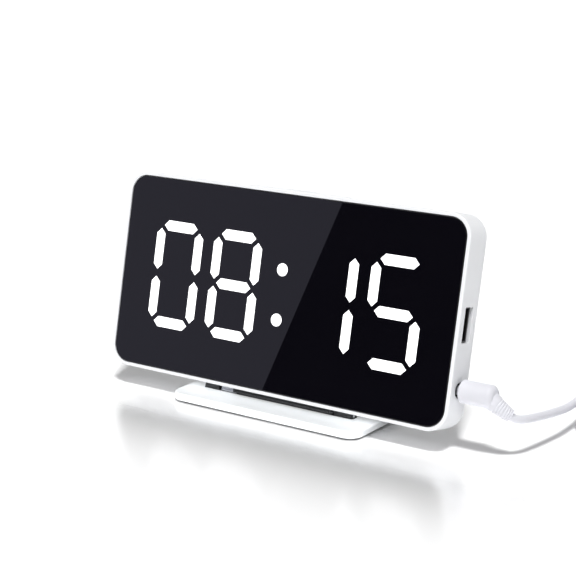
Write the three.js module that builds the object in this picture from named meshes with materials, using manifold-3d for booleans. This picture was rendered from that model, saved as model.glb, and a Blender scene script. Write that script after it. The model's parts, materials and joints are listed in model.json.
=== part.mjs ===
// Mirror LED alarm clock: a slim case that leans back on a hinged foot plate, with a USB charging socket,
// a round DC inlet and its supply lead. Millimetres, +Z up, +X to the right of the display, -Y in front
// of it. The origin is on the table, below the centre of the clock.
import * as THREE from "three";
import { mergeVertices } from "three/addons/utils/BufferGeometryUtils.js";
import Module from "manifold-3d";

const wasm = await Module();
wasm.setup();

// ---- Driving dimensions -------------------------------------------------------------------------

const CLEARANCE = 0.3; // between pieces that touch or slide

// Case. Inside the case, x runs right, y runs in from the front, z runs up the front face.
const CASE_WIDTH = 160.2;
const CASE_HEIGHT = 80.6;
const CASE_DEPTH = 16;
const CASE_CORNER = 8.8;
const CASE_WALL = 2;
const RIM_WIDTH = 1.4; // white edge that frames the mirror panel
const FRONT_EDGE = 0.6; // softened front edge of the rim
const REAR_EDGE = 4.5; // rounding of the back cover's edge
const LEAN_DEG = 12.3;
const CASE_LIFT = 8.8; // height of the case's lower front edge above the table
const ARC_STEPS = 4; // half the facets in each rounded corner

// Mirror panel and display stack, counted in from the front.
const PANEL_THICKNESS = 1.2;
const FRONT_WALL = 1.5;
const FILM_THICKNESS = 0.4;
const BLOCK_THICKNESS = 5;
const BOARD_THICKNESS = 1.6;

// Seven-segment digits.
const DIGIT_CENTRES = [-51.7, -22.5, 22.5, 51.7];
const DIGIT_HALF_WIDTH = 9.73; // from the digit's centre to the middle of an upright segment
const DIGIT_HALF_HEIGHT = 19.68; // from the middle segment to the top one
const SEGMENT_LENGTH = 16.8;
const SEGMENT_WIDTH = 4.2;
const COLON_HALF_SPACING = 9.85;
const COLON_RADIUS = 2.5;
const BLOCK_MARGIN = 1.2; // light block beyond the outermost segments

// Ports on the right side.
const PORT_DEPTH = 6.5; // port centres, in from the front
const USB_WIDTH = 13.3;
const USB_THICKNESS = 5.9;
const USB_LENGTH = 13.4;
const USB_SHELL = 0.3;
const USB_UP = CASE_HEIGHT / 2;
const JACK_UP = 16.3;
const JACK_HOLE_RADIUS = 3.3;
const JACK_LENGTH = 12;
const JACK_WIDTH = 8.6;
const JACK_THICKNESS = 6.2;
const JACK_BORE_RADIUS = 2.05;
const JACK_PIN_RADIUS = 0.65;
const POWER_BOARD_LEFT = 44;
const POWER_BOARD_LOW = 12;
const POWER_BOARD_HIGH = 54;

// Supply lead.
const PLUG_RADIUS = 4.4;
const PLUG_LENGTH = 13.4;
const PLUG_STANDOFF = 1.7; // plug body's front face, out from the case
const BARREL_RADIUS = 1.75;
const BARREL_BORE_RADIUS = 0.95;
const BARREL_LENGTH = 9.5;
const CORD_DIAMETER = 3.2;
const RELIEF_END_RADIUS = 2.5;
const RELIEF_INSET = 0.4; // relief's start, in from the plug's side
const COIL_TURN_RADIUS = 23.6; // centreline of the outermost turn
const COIL_TURNS_ACROSS = 2.73; // turns between the outermost and the innermost centreline
const COIL_LAYERS = 4;
const COIL_PITCH = 3.25; // from one turn or layer to the next
const COIL_CENTRE = [128.8, 46];
const USB_PLUG_WIDTH = 15.6;
const USB_PLUG_THICKNESS = 7.8;
const USB_PLUG_LENGTH = 23;
const USB_TIP_WIDTH = 12;
const USB_TIP_THICKNESS = 4.5;
const USB_TIP_LENGTH = 12;

// Controls.
const KEY_CENTRES = [-28, -14, 0, 14, 28];
const KEY_UP = 62;
const KEY_RADIUS = 3.5;
const KEY_FLANGE_RADIUS = 4.6;
const KEY_PROUD = 0.8;
const KEY_TRAVEL = 0.6;
const SWITCH_SIZE = 6;
const SNOOZE_LENGTH = 46;
const SNOOZE_WIDTH = 5;
const SNOOZE_DEPTH = 7.2; // centre, in from the front
const SNOOZE_PROUD = 0.3;
const SNOOZE_TRAVEL = 0.8;
const SLIDER_X = 44;
const SLIDER_WIDTH = 4.4;
const SLIDER_HEIGHT = 2.6;
const SLIDER_TRAVEL = 4;

// Backup cell and buzzer.
const CELL_X = -44;
const CELL_UP = 25;
const CELL_RADIUS = 10;
const CELL_THICKNESS = 3.1;
const CAP_RADIUS = 13.2;
const CAP_THICKNESS = 0.8;
const COIN_SLOT = [14, 2, 0.5];
const BUZZER_X = -8;
const BUZZER_UP = 25;
const BUZZER_RADIUS = 6;
const BUZZER_THICKNESS = 4;
const GRILLE_SLOTS = 5;
const GRILLE_PITCH = 2.8;
const GRILLE_SLOT = [12, 1.4];

// Screws.
const SCREW_RADIUS = 1;
const SCREW_HEAD_RADIUS = 2.1;
const SCREW_HEAD = 1.1;
const BOSS_RADIUS = 3;
const BOSS_INSET = 7.8; // boss centres, in from the case's sides

// Foot and hinge.
const FOOT_WIDTH = 89.2;
const FOOT_DEPTH = 50;
const FOOT_CORNER = 6;
const FOOT_THICKNESS = 2.8;
const FOOT_EDGE = 0.8;
const PAD_HEIGHT = 0.8;
const PAD_RADIUS = 3.6;
const PAD_INSET = 6.5;
const PAD_POCKET = 0.5;
const TOE = 5.1; // foot's front edge, ahead of the case's lower front edge
const HINGE_BACK = 10.3; // hinge axis, behind the case's lower front edge
const HINGE_HEIGHT = 4;
const HINGE_SHIFT = -1; // hinge centre, to the side of the case's centre
const KNUCKLE_RADIUS = 2;
const PIN_RADIUS = 0.9;
const KNUCKLES = { left: [-35.5, -28.3], sleeve: [-27.2, -20], neck: [-19.7, 27], right: [27.3, 35.5] };
const LEAF_THICKNESS = 0.7;
const LEAF_WIDTH = 80;
const LEAF_DEPTH = 14;
const NECK_IN = 8.4; // middle of the neck's web, in from the front
const NECK_DEPTH = 3.4;
const NECK_FLANGE = 2;

// ---- Values that follow from them ---------------------------------------------------------------

const LEAN = THREE.MathUtils.degToRad(LEAN_DEG);
const CASE_FRONT_Y = -FOOT_DEPTH / 2 + TOE;
const OPENING_WIDTH = CASE_WIDTH - 2 * RIM_WIDTH;
const OPENING_HEIGHT = CASE_HEIGHT - 2 * RIM_WIDTH;
const OPENING_CORNER = CASE_CORNER - RIM_WIDTH;
const INNER_WIDTH = CASE_WIDTH - 2 * CASE_WALL;
const INNER_HEIGHT = CASE_HEIGHT - 2 * CASE_WALL;
const INNER_CORNER = CASE_CORNER - CASE_WALL;
const MID_UP = CASE_HEIGHT / 2;
const WALL_FRONT = PANEL_THICKNESS + CLEARANCE;
const WALL_BACK = WALL_FRONT + FRONT_WALL;
const FILM_FRONT = WALL_FRONT;
const BLOCK_FRONT = FILM_FRONT + FILM_THICKNESS + CLEARANCE;
const BLOCK_BACK = BLOCK_FRONT + BLOCK_THICKNESS;
const BOARD_FRONT = BLOCK_BACK + CLEARANCE;
const BOARD_BACK = BOARD_FRONT + BOARD_THICKNESS;
const MOUNT_PLANE = BOARD_BACK + CLEARANCE;
const COVER_FRONT = CASE_DEPTH - REAR_EDGE;
const SPLIT = COVER_FRONT - CLEARANCE;
const COVER_INSIDE = CASE_DEPTH - CASE_WALL;
const BLOCK_WIDTH = 2 * (DIGIT_CENTRES[3] + DIGIT_HALF_WIDTH + SEGMENT_WIDTH / 2 + BLOCK_MARGIN);
const BLOCK_HEIGHT = 2 * (DIGIT_HALF_HEIGHT + SEGMENT_WIDTH / 2 + BLOCK_MARGIN);
const BOARD_LEFT = -BLOCK_WIDTH / 2 - BLOCK_MARGIN;
const BOARD_RIGHT = BLOCK_WIDTH / 2 - BLOCK_MARGIN;
const BOARD_HALF_HEIGHT = INNER_HEIGHT / 2 - 4.3;
const USB_MOUTH = CASE_WIDTH / 2 - CASE_WALL + 0.6;
const POWER_BOARD_FRONT = PORT_DEPTH + USB_THICKNESS / 2 + CLEARANCE;
const FLANGE_BACK = COVER_INSIDE - CLEARANCE;
const FLANGE_FRONT = FLANGE_BACK - 0.5;
const PLUNGER_BACK = FLANGE_FRONT - KEY_TRAVEL - CLEARANCE;
const BOSS_BACK = COVER_INSIDE - CLEARANCE;
const BOSS_X = CASE_WIDTH / 2 - BOSS_INSET;
const BOSS_ROWS = [BOSS_INSET, CASE_HEIGHT - BOSS_INSET];
const HINGE_Y = CASE_FRONT_Y + HINGE_BACK;
const FOOT_TOP = PAD_HEIGHT + FOOT_THICKNESS;
const SLOT_FRONT = HINGE_Y - KNUCKLE_RADIUS - CLEARANCE;
const SLOT_BACK = HINGE_Y + KNUCKLE_RADIUS + CLEARANCE;
const COIL_SECTION = COIL_TURNS_ACROSS * COIL_PITCH + CORD_DIAMETER;

// The hinge axis in the case's own directions.
const HINGE_DROP = HINGE_HEIGHT - CASE_LIFT;
const HINGE_IN = HINGE_BACK * Math.cos(LEAN) - HINGE_DROP * Math.sin(LEAN);
const HINGE_UP = HINGE_BACK * Math.sin(LEAN) + HINGE_DROP * Math.cos(LEAN);

// ---- Materials ----------------------------------------------------------------------------------

function finish(color, roughness, metalness = 0) {
  return new THREE.MeshStandardMaterial({ color, roughness, metalness });
}

const whiteShell = finish(0xf2f4f8, 0.35);
const whiteLead = finish(0xe9eaf2, 0.5);
const darkMirror = finish(0x101016, 0.06);
const milkyFilm = finish(0xf8f8f8, 0.6);
const blackPlastic = finish(0x1c1d20, 0.5);
const darkGrey = finish(0x3a3b3e, 0.55);
const steel = finish(0xb9bcc0, 0.3, 1);
const boardGreen = finish(0x1f5a3a, 0.5);
const keyGrey = finish(0xd9dce2, 0.45);
const rubberGrey = finish(0x55575b, 0.85);

// ---- Shape helpers ------------------------------------------------------------------------------

function solid(geometry) {
  const bare = geometry.index ? geometry.toNonIndexed() : geometry.clone();
  bare.deleteAttribute("normal");
  bare.deleteAttribute("uv");
  const merged = mergeVertices(bare, 1e-4);
  const vertProperties = new Float32Array(merged.attributes.position.array);
  const triVerts = new Uint32Array(merged.index.array);
  return new wasm.Manifold(new wasm.Mesh({ numProp: 3, vertProperties, triVerts }));
}

function geometryOf(manifold) {
  const mesh = manifold.getMesh();
  const geometry = new THREE.BufferGeometry();
  geometry.setAttribute("position", new THREE.BufferAttribute(mesh.vertProperties, 3));
  geometry.setIndex(new THREE.BufferAttribute(mesh.triVerts, 1));
  return geometry;
}

function addPart(group, name, manifold, material) {
  const mesh = new THREE.Mesh(geometryOf(manifold), material);
  mesh.name = name;
  group.add(mesh);
}

function roundRect(width, height, corner, x = 0, y = 0) {
  const shape = new THREE.Shape();
  const r = Math.min(corner, width / 2 - 0.01, height / 2 - 0.01);
  const [w, h] = [width / 2 - r, height / 2 - r];
  shape.absarc(x + w, y - h, r, -Math.PI / 2, 0);
  shape.absarc(x + w, y + h, r, 0, Math.PI / 2);
  shape.absarc(x - w, y + h, r, Math.PI / 2, Math.PI);
  shape.absarc(x - w, y - h, r, Math.PI, 1.5 * Math.PI);
  return shape;
}

function disc(radius, x = 0, y = 0) {
  const shape = new THREE.Shape();
  shape.absarc(x, y, radius, 0, 2 * Math.PI);
  return shape;
}

// A prism along +Z, between two heights.
function prismZ(shape, from, to, steps = ARC_STEPS) {
  const options = { depth: to - from, bevelEnabled: false, curveSegments: steps };
  const geometry = new THREE.ExtrudeGeometry(shape, options);
  geometry.translate(0, 0, from);
  return geometry;
}

// A prism along +Y: the shape's x stays x and its y becomes z.
function prismY(shape, from, to, steps = ARC_STEPS) {
  const geometry = prismZ(shape, 0, to - from, steps);
  geometry.rotateX(Math.PI / 2);
  geometry.translate(0, to, 0);
  return geometry;
}

// A prism along +X: the shape's x becomes y and its y becomes z.
function prismX(shape, from, to, steps = ARC_STEPS) {
  const geometry = prismZ(shape, from, to, steps);
  const y = new THREE.Vector3(0, 1, 0);
  const z = new THREE.Vector3(0, 0, 1);
  const x = new THREE.Vector3(1, 0, 0);
  geometry.applyMatrix4(new THREE.Matrix4().makeBasis(y, z, x));
  return geometry;
}

const layer = (shape, from, to, steps) => solid(prismY(shape, from, to, steps));
const plate = (shape, from, to, steps) => solid(prismZ(shape, from, to, steps));
const sideways = (shape, from, to, steps) => solid(prismX(shape, from, to, steps));

// A closed skin through rings of equal point counts, with flat ends.
function loft(rings) {
  const count = rings[0].length;
  const positions = rings.flat().flatMap((p) => [p.x, p.y, p.z]);
  const faces = [];
  for (let i = 1; i < count - 1; i += 1) {
    faces.push(0, i + 1, i);
    const last = (rings.length - 1) * count;
    faces.push(last, last + i, last + i + 1);
  }
  for (let row = 0; row < rings.length - 1; row += 1) {
    for (let i = 0; i < count; i += 1) {
      const [a, b] = [row * count + i, row * count + ((i + 1) % count)];
      faces.push(a, b, b + count, a, b + count, a + count);
    }
  }
  const geometry = new THREE.BufferGeometry();
  geometry.setAttribute("position", new THREE.Float32BufferAttribute(positions, 3));
  geometry.setIndex(faces);
  return solid(geometry);
}

// Rounded-rectangle rings across the case, each set in by an amount at a depth, from back to front.
function caseRings(stages, width, height, corner) {
  return stages.map(([inset, depth]) => {
    const shape = roundRect(width - 2 * inset, height - 2 * inset, Math.max(corner - inset, 0.5), 0, MID_UP);
    const points = shape.getPoints(ARC_STEPS);
    const ring = points.filter((p, i) => i === 0 || p.distanceTo(points[i - 1]) > 1e-6);
    if (ring[0].distanceTo(ring[ring.length - 1]) < 1e-6) ring.pop();
    return ring.map((p) => new THREE.Vector3(p.x, depth, p.y));
  });
}

function quarterRound(radius, start, steps) {
  const stages = [];
  for (let i = 0; i <= steps; i += 1) {
    const angle = ((Math.PI / 2) * i) / steps;
    stages.push([radius * (1 - Math.cos(angle)), start + radius * Math.sin(angle)]);
  }
  return stages;
}

function union(pieces) {
  return pieces.reduce((all, piece) => all.add(piece));
}

function carve(body, cuts) {
  return cuts.reduce((rest, cut) => rest.subtract(cut), body);
}

// ---- Case: front housing and back cover ---------------------------------------------------------

function portHoles() {
  const out = CASE_WIDTH / 2 + 1;
  const within = CASE_WIDTH / 2 - CASE_WALL - 1;
  const usb = sideways(roundRect(USB_THICKNESS, USB_WIDTH, 0.4, PORT_DEPTH, USB_UP), within, out, 1);
  const jack = sideways(disc(JACK_HOLE_RADIUS, PORT_DEPTH, JACK_UP), within, out, 8);
  return [usb, jack];
}

function snoozeHole() {
  const width = SNOOZE_WIDTH + 2 * CLEARANCE;
  const shape = roundRect(SNOOZE_LENGTH + 2 * CLEARANCE, width, width / 2, 0, SNOOZE_DEPTH);
  return plate(shape, CASE_HEIGHT - CASE_WALL - 1, CASE_HEIGHT + 1);
}

function neckHole() {
  const [from, to] = KNUCKLES.neck;
  const middle = HINGE_SHIFT + (from + to) / 2;
  const shape = roundRect(to - from + 2 * CLEARANCE, NECK_DEPTH + 2 * CLEARANCE, 0.5, middle, NECK_IN);
  return plate(shape, -1, CASE_WALL + 1, 1);
}

function boardPosts() {
  const spots = [-1, 1].flatMap((side) => [
    [BOARD_LEFT + 4, MID_UP + side * (BOARD_HALF_HEIGHT - 4)],
    [BOARD_RIGHT - 4, MID_UP + side * (BOARD_HALF_HEIGHT - 4)],
  ]);
  return spots.map(([x, up]) => layer(disc(2.5, x, up), WALL_BACK - 0.5, BOARD_FRONT - CLEARANCE, 4));
}

function caseBosses() {
  const spots = [-1, 1].flatMap((side) => BOSS_ROWS.map((up) => [side * BOSS_X, up]));
  return spots.map(([x, up]) => {
    const post = layer(disc(BOSS_RADIUS, x, up), WALL_BACK - 0.5, BOSS_BACK, 5);
    return post.subtract(layer(disc(SCREW_RADIUS + CLEARANCE, x, up), COVER_FRONT - 4, BOSS_BACK + 1, 5));
  });
}

function frontHousing() {
  const edge = quarterRound(FRONT_EDGE, 0, 2).map(([inset, depth]) => [FRONT_EDGE - depth, inset]);
  const stages = [[0, SPLIT], ...edge.reverse()];
  const body = loft(caseRings(stages, CASE_WIDTH, CASE_HEIGHT, CASE_CORNER));
  const recess = layer(roundRect(OPENING_WIDTH, OPENING_HEIGHT, OPENING_CORNER, 0, MID_UP), -1, WALL_FRONT);
  const cavity = layer(roundRect(INNER_WIDTH, INNER_HEIGHT, INNER_CORNER, 0, MID_UP), WALL_BACK, SPLIT + 1);
  const gap = 2 * CLEARANCE;
  const window = layer(roundRect(BLOCK_WIDTH + gap, BLOCK_HEIGHT + gap, 0.5, 0, MID_UP), 0, WALL_BACK + 1, 1);
  const tray = carve(body, [recess, cavity, window, ...portHoles(), snoozeHole(), neckHole()]);
  return union([tray, ...caseBosses(), ...boardPosts()]);
}

function keyHoles() {
  return KEY_CENTRES.map((x) => layer(disc(KEY_RADIUS + CLEARANCE, x, KEY_UP), 12, CASE_DEPTH + 1, 7));
}

function grilleSlots() {
  const [length, width] = GRILLE_SLOT;
  return Array.from({ length: GRILLE_SLOTS }, (_, i) => {
    const up = BUZZER_UP + (i - (GRILLE_SLOTS - 1) / 2) * GRILLE_PITCH;
    return layer(roundRect(length, width, width / 2, BUZZER_X, up), 12, CASE_DEPTH + 1, 3);
  });
}

function coverScrewHoles() {
  return [-1, 1].flatMap((side) =>
    BOSS_ROWS.flatMap((up) => [
      layer(disc(SCREW_RADIUS + CLEARANCE, side * BOSS_X, up), 12, CASE_DEPTH + 1, 5),
      layer(disc(SCREW_HEAD_RADIUS + CLEARANCE, side * BOSS_X, up), CASE_DEPTH - 1.4, CASE_DEPTH + 1, 5),
    ]),
  );
}

function sliderHole() {
  const length = SLIDER_WIDTH + SLIDER_TRAVEL + 2 * CLEARANCE;
  const centre = SLIDER_X + SLIDER_TRAVEL / 2;
  const shape = roundRect(length, SLIDER_HEIGHT + 2 * CLEARANCE, 0.5, centre, KEY_UP);
  return layer(shape, 12, CASE_DEPTH + 1, 2);
}

function cellHoles() {
  const through = layer(disc(CELL_RADIUS + 1.5, CELL_X, CELL_UP), 12, CASE_DEPTH + 1, 13);
  const seat = CASE_DEPTH - CAP_THICKNESS - CLEARANCE;
  const recess = layer(disc(CAP_RADIUS + CLEARANCE, CELL_X, CELL_UP), seat, CASE_DEPTH + 1, 13);
  return [through, recess];
}

function backCover() {
  const stages = quarterRound(REAR_EDGE, COVER_FRONT, 5).reverse();
  const body = loft(caseRings(stages, CASE_WIDTH, CASE_HEIGHT, CASE_CORNER));
  const inside = quarterRound(REAR_EDGE - CASE_WALL, COVER_FRONT, 4);
  const rounded = inside.map(([inset, depth]) => [CASE_WALL + inset, depth]).reverse();
  const hollow = [...rounded, [CASE_WALL, COVER_FRONT - 1]];
  const cavity = loft(caseRings(hollow, CASE_WIDTH, CASE_HEIGHT, CASE_CORNER));
  const holes = [...keyHoles(), ...grilleSlots(), ...coverScrewHoles(), sliderHole(), ...cellHoles()];
  return carve(body, [cavity, ...holes]);
}

function caseScrew(x, up) {
  const shank = layer(disc(SCREW_RADIUS, x, up), COVER_FRONT - 2, CASE_DEPTH - SCREW_HEAD, 4);
  const head = layer(disc(SCREW_HEAD_RADIUS, x, up), CASE_DEPTH - SCREW_HEAD, CASE_DEPTH - 0.1, 5);
  const [length, width] = [2.4, 0.5];
  const depth = CASE_DEPTH - 0.6;
  const across = layer(roundRect(length, width, 0.01, x, up), depth, CASE_DEPTH + 1, 1);
  const upright = layer(roundRect(width, length, 0.01, x, up), depth, CASE_DEPTH + 1, 1);
  return carve(shank.add(head), [across, upright]);
}

// ---- Display ------------------------------------------------------------------------------------

function mirrorPanel() {
  const gap = 2 * CLEARANCE;
  const corner = OPENING_CORNER - CLEARANCE;
  return layer(roundRect(OPENING_WIDTH - gap, OPENING_HEIGHT - gap, corner, 0, MID_UP), 0, PANEL_THICKNESS);
}

// One segment: a bar with pointed ends, lying along x or standing along z.
function segmentShape(x, up, upright, grow = 0) {
  const [half, tip] = [SEGMENT_LENGTH / 2 + grow, SEGMENT_WIDTH / 2 + grow];
  const outline = [
    [-half, 0],
    [-half + tip, -tip],
    [half - tip, -tip],
    [half, 0],
    [half - tip, tip],
    [-half + tip, tip],
  ];
  const turned = outline.map(([a, b]) => (upright ? [x - b, up + a] : [x + a, up + b]));
  return new THREE.Shape(turned.map(([a, b]) => new THREE.Vector2(a, b)));
}

function digitSegments(centre) {
  const bars = [-1, 0, 1].map((row) => segmentShape(centre, MID_UP + row * DIGIT_HALF_HEIGHT, false));
  const uprights = [-1, 1].flatMap((side) =>
    [-1, 1].map((half) => {
      const x = centre + side * DIGIT_HALF_WIDTH;
      return segmentShape(x, MID_UP + (half * DIGIT_HALF_HEIGHT) / 2, true);
    }),
  );
  return [...bars, ...uprights];
}

function lightBlock() {
  const block = layer(roundRect(BLOCK_WIDTH, BLOCK_HEIGHT, 0.5, 0, MID_UP), BLOCK_FRONT, BLOCK_BACK, 1);
  const bars = DIGIT_CENTRES.flatMap(digitSegments);
  const dots = [-1, 1].map((side) => disc(COLON_RADIUS, 0, MID_UP + side * COLON_HALF_SPACING));
  const wells = [...bars, ...dots].map((shape) => layer(shape, BLOCK_FRONT - 1, BLOCK_BACK + 1, 12));
  return carve(block, wells);
}

function displayBoard() {
  const width = BOARD_RIGHT - BOARD_LEFT;
  const shape = roundRect(width, 2 * BOARD_HALF_HEIGHT, 1, (BOARD_LEFT + BOARD_RIGHT) / 2, MID_UP);
  return layer(shape, BOARD_FRONT, BOARD_BACK, 2);
}

function buildDisplay(group) {
  const film = roundRect(BLOCK_WIDTH, BLOCK_HEIGHT, 0.5, 0, MID_UP);
  addPart(group, "mirror_panel", mirrorPanel(), darkMirror);
  addPart(group, "diffuser_film", layer(film, FILM_FRONT, FILM_FRONT + FILM_THICKNESS, 1), milkyFilm);
  addPart(group, "light_block", lightBlock(), blackPlastic);
  addPart(group, "display_board", displayBoard(), boardGreen);
}

// ---- Power board, USB socket and DC inlet -------------------------------------------------------

function powerBoard() {
  const right = CASE_WIDTH / 2 - CASE_WALL - CLEARANCE;
  const width = right - POWER_BOARD_LEFT;
  const height = POWER_BOARD_HIGH - POWER_BOARD_LOW;
  const middle = (POWER_BOARD_LOW + POWER_BOARD_HIGH) / 2;
  const shape = roundRect(width, height, 0.8, (right + POWER_BOARD_LEFT) / 2, middle);
  const front = Math.max(POWER_BOARD_FRONT, MOUNT_PLANE);
  return layer(shape, front, front + BOARD_THICKNESS, 2);
}

function usbShell() {
  const [deep, wide] = [USB_THICKNESS - 2 * CLEARANCE, USB_WIDTH - 2 * CLEARANCE];
  const inset = 2 * USB_SHELL;
  const section = roundRect(deep, wide, 0.5, PORT_DEPTH, USB_UP);
  const outer = sideways(section, USB_MOUTH - USB_LENGTH, USB_MOUTH, 2);
  const bore = roundRect(deep - inset, wide - inset, 0.3, PORT_DEPTH, USB_UP);
  return outer.subtract(sideways(bore, USB_MOUTH - USB_LENGTH + 1, USB_MOUTH + 1, 2));
}

function usbTongue() {
  const back = USB_MOUTH - USB_LENGTH + 1 + CLEARANCE;
  const shape = roundRect(1.8, USB_WIDTH - 2.6, 0.2, PORT_DEPTH - 0.9, USB_UP);
  return sideways(shape, back, USB_MOUTH - 1.2, 1);
}

function jackBody() {
  const end = CASE_WIDTH / 2 - CASE_WALL - CLEARANCE;
  const section = roundRect(JACK_THICKNESS - CLEARANCE, JACK_WIDTH, 0.4, PORT_DEPTH, JACK_UP);
  const block = sideways(section, end - JACK_LENGTH, end, 2);
  const nose = sideways(disc(JACK_HOLE_RADIUS - CLEARANCE, PORT_DEPTH, JACK_UP), end - 1, end + 1.2, 8);
  const bore = sideways(disc(JACK_BORE_RADIUS, PORT_DEPTH, JACK_UP), end - JACK_LENGTH + 1, end + 3, 7);
  return block.add(nose).subtract(bore);
}

function jackPin() {
  const end = CASE_WIDTH / 2 - CASE_WALL - CLEARANCE;
  const back = end - JACK_LENGTH + 1 + CLEARANCE;
  return sideways(disc(JACK_PIN_RADIUS, PORT_DEPTH, JACK_UP), back, end - 0.8, 4);
}

function boardLink() {
  const shape = roundRect(5, 12, 0.3, POWER_BOARD_LEFT - 4, MID_UP - 8);
  return layer(shape, MOUNT_PLANE, MOUNT_PLANE + 3, 1);
}

function buildPower(group) {
  addPart(group, "power_board", powerBoard(), boardGreen);
  addPart(group, "usb_socket_shell", usbShell(), steel);
  addPart(group, "usb_socket_tongue", usbTongue(), blackPlastic);
  addPart(group, "dc_jack_body", jackBody(), blackPlastic);
  addPart(group, "dc_jack_pin", jackPin(), steel);
  addPart(group, "board_link", boardLink(), keyGrey);
}

// ---- Buzzer and backup cell ---------------------------------------------------------------------

function cellHolder() {
  const outer = layer(disc(CELL_RADIUS + 1.2, CELL_X, CELL_UP), MOUNT_PLANE, MOUNT_PLANE + 2.6, 12);
  const bed = MOUNT_PLANE + 0.5;
  return outer.subtract(layer(disc(CELL_RADIUS + CLEARANCE, CELL_X, CELL_UP), bed, MOUNT_PLANE + 4, 12));
}

function batteryCap() {
  const top = layer(disc(CAP_RADIUS, CELL_X, CELL_UP), CASE_DEPTH - CAP_THICKNESS, CASE_DEPTH, 13);
  const low = MOUNT_PLANE + 0.5 + CELL_THICKNESS + 2 * CLEARANCE;
  const skirt = layer(disc(CELL_RADIUS + 1.5 - CLEARANCE, CELL_X, CELL_UP), low, CASE_DEPTH - 0.4, 13);
  const [length, width, depth] = COIN_SLOT;
  const outline = roundRect(length, width, width / 2, CELL_X, CELL_UP);
  const slot = layer(outline, CASE_DEPTH - depth, CASE_DEPTH + 1, 4);
  return top.add(skirt).subtract(slot);
}

function buildSoundAndCell(group) {
  const cellFront = MOUNT_PLANE + 0.5 + CLEARANCE;
  const cell = layer(disc(CELL_RADIUS, CELL_X, CELL_UP), cellFront, cellFront + CELL_THICKNESS, 12);
  const buzzerBack = MOUNT_PLANE + BUZZER_THICKNESS;
  const buzzer = layer(disc(BUZZER_RADIUS, BUZZER_X, BUZZER_UP), MOUNT_PLANE, buzzerBack, 8);
  const port = layer(disc(1, BUZZER_X, BUZZER_UP), MOUNT_PLANE + 1, buzzerBack + 1, 4);
  addPart(group, "cell_holder", cellHolder(), blackPlastic);
  addPart(group, "backup_cell", cell, steel);
  addPart(group, "battery_cap", batteryCap(), whiteShell);
  addPart(group, "buzzer", buzzer.subtract(port), blackPlastic);
}

// ---- Controls -----------------------------------------------------------------------------------

function rearKey(x) {
  const cap = layer(disc(KEY_RADIUS, x, KEY_UP), FLANGE_FRONT, CASE_DEPTH + KEY_PROUD, 8);
  return cap.add(layer(disc(KEY_FLANGE_RADIUS, x, KEY_UP), FLANGE_FRONT, FLANGE_BACK, 8));
}

function keySwitch(x) {
  const body = layer(roundRect(SWITCH_SIZE, SWITCH_SIZE, 0.4, x, KEY_UP), MOUNT_PLANE, PLUNGER_BACK - 0.7, 1);
  return body.add(layer(disc(1.6, x, KEY_UP), MOUNT_PLANE + 1, PLUNGER_BACK, 5));
}

function snoozeBar() {
  const under = CASE_HEIGHT - CASE_WALL - CLEARANCE;
  const shape = roundRect(SNOOZE_LENGTH, SNOOZE_WIDTH, SNOOZE_WIDTH / 2, 0, SNOOZE_DEPTH);
  const cap = plate(shape, under - 0.6, CASE_HEIGHT + SNOOZE_PROUD);
  const flange = roundRect(SNOOZE_LENGTH + 4, SNOOZE_WIDTH + 2.4, 1, 0, SNOOZE_DEPTH);
  return cap.add(plate(flange, under - 0.9, under, 2));
}

function snoozeSwitch() {
  const top = CASE_HEIGHT - CASE_WALL - CLEARANCE - 0.9 - SNOOZE_TRAVEL - CLEARANCE;
  const body = plate(roundRect(SWITCH_SIZE, 3.4, 0.3, 0, MOUNT_PLANE + 1.7), top - 6.5, top - 0.9, 1);
  return body.add(plate(disc(0.9, 0, MOUNT_PLANE + 1), top - 2, top, 5));
}

function alarmSlider() {
  const flange = roundRect(SLIDER_WIDTH + SLIDER_TRAVEL + 2, SLIDER_HEIGHT + 2.4, 0.5, SLIDER_X, KEY_UP);
  const knob = roundRect(SLIDER_WIDTH, SLIDER_HEIGHT, 0.5, SLIDER_X, KEY_UP);
  const base = layer(flange, FLANGE_FRONT, FLANGE_BACK, 2);
  const grip = layer(knob, FLANGE_FRONT, CASE_DEPTH + 0.5, 2);
  const line = roundRect(0.7, SLIDER_HEIGHT + 1, 0.01, SLIDER_X, KEY_UP);
  const groove = layer(line, CASE_DEPTH, CASE_DEPTH + 2, 1);
  return base.add(grip).subtract(groove);
}

function buildControls(group) {
  const names = ["mode", "set", "down", "up", "alarm"];
  names.forEach((name, i) => {
    addPart(group, `${name}_key`, rearKey(KEY_CENTRES[i]), keyGrey);
    addPart(group, `${name}_key_switch`, keySwitch(KEY_CENTRES[i]), blackPlastic);
  });
  const switchBody = roundRect(10, 4, 0.3, SLIDER_X + SLIDER_TRAVEL / 2, KEY_UP);
  addPart(group, "snooze_bar", snoozeBar(), whiteShell);
  addPart(group, "snooze_switch", snoozeSwitch(), blackPlastic);
  addPart(group, "alarm_slider", alarmSlider(), darkGrey);
  addPart(group, "alarm_slider_switch", layer(switchBody, MOUNT_PLANE, FLANGE_FRONT - CLEARANCE, 1), steel);
}

// ---- Hinge --------------------------------------------------------------------------------------

function barrel([from, to], y, z, bore) {
  const [left, right] = [HINGE_SHIFT + from, HINGE_SHIFT + to];
  const tube = sideways(disc(KNUCKLE_RADIUS, y, z), left, right, 7);
  return bore ? tube.subtract(sideways(disc(PIN_RADIUS + CLEARANCE, y, z), left - 1, right + 1, 5)) : tube;
}

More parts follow.
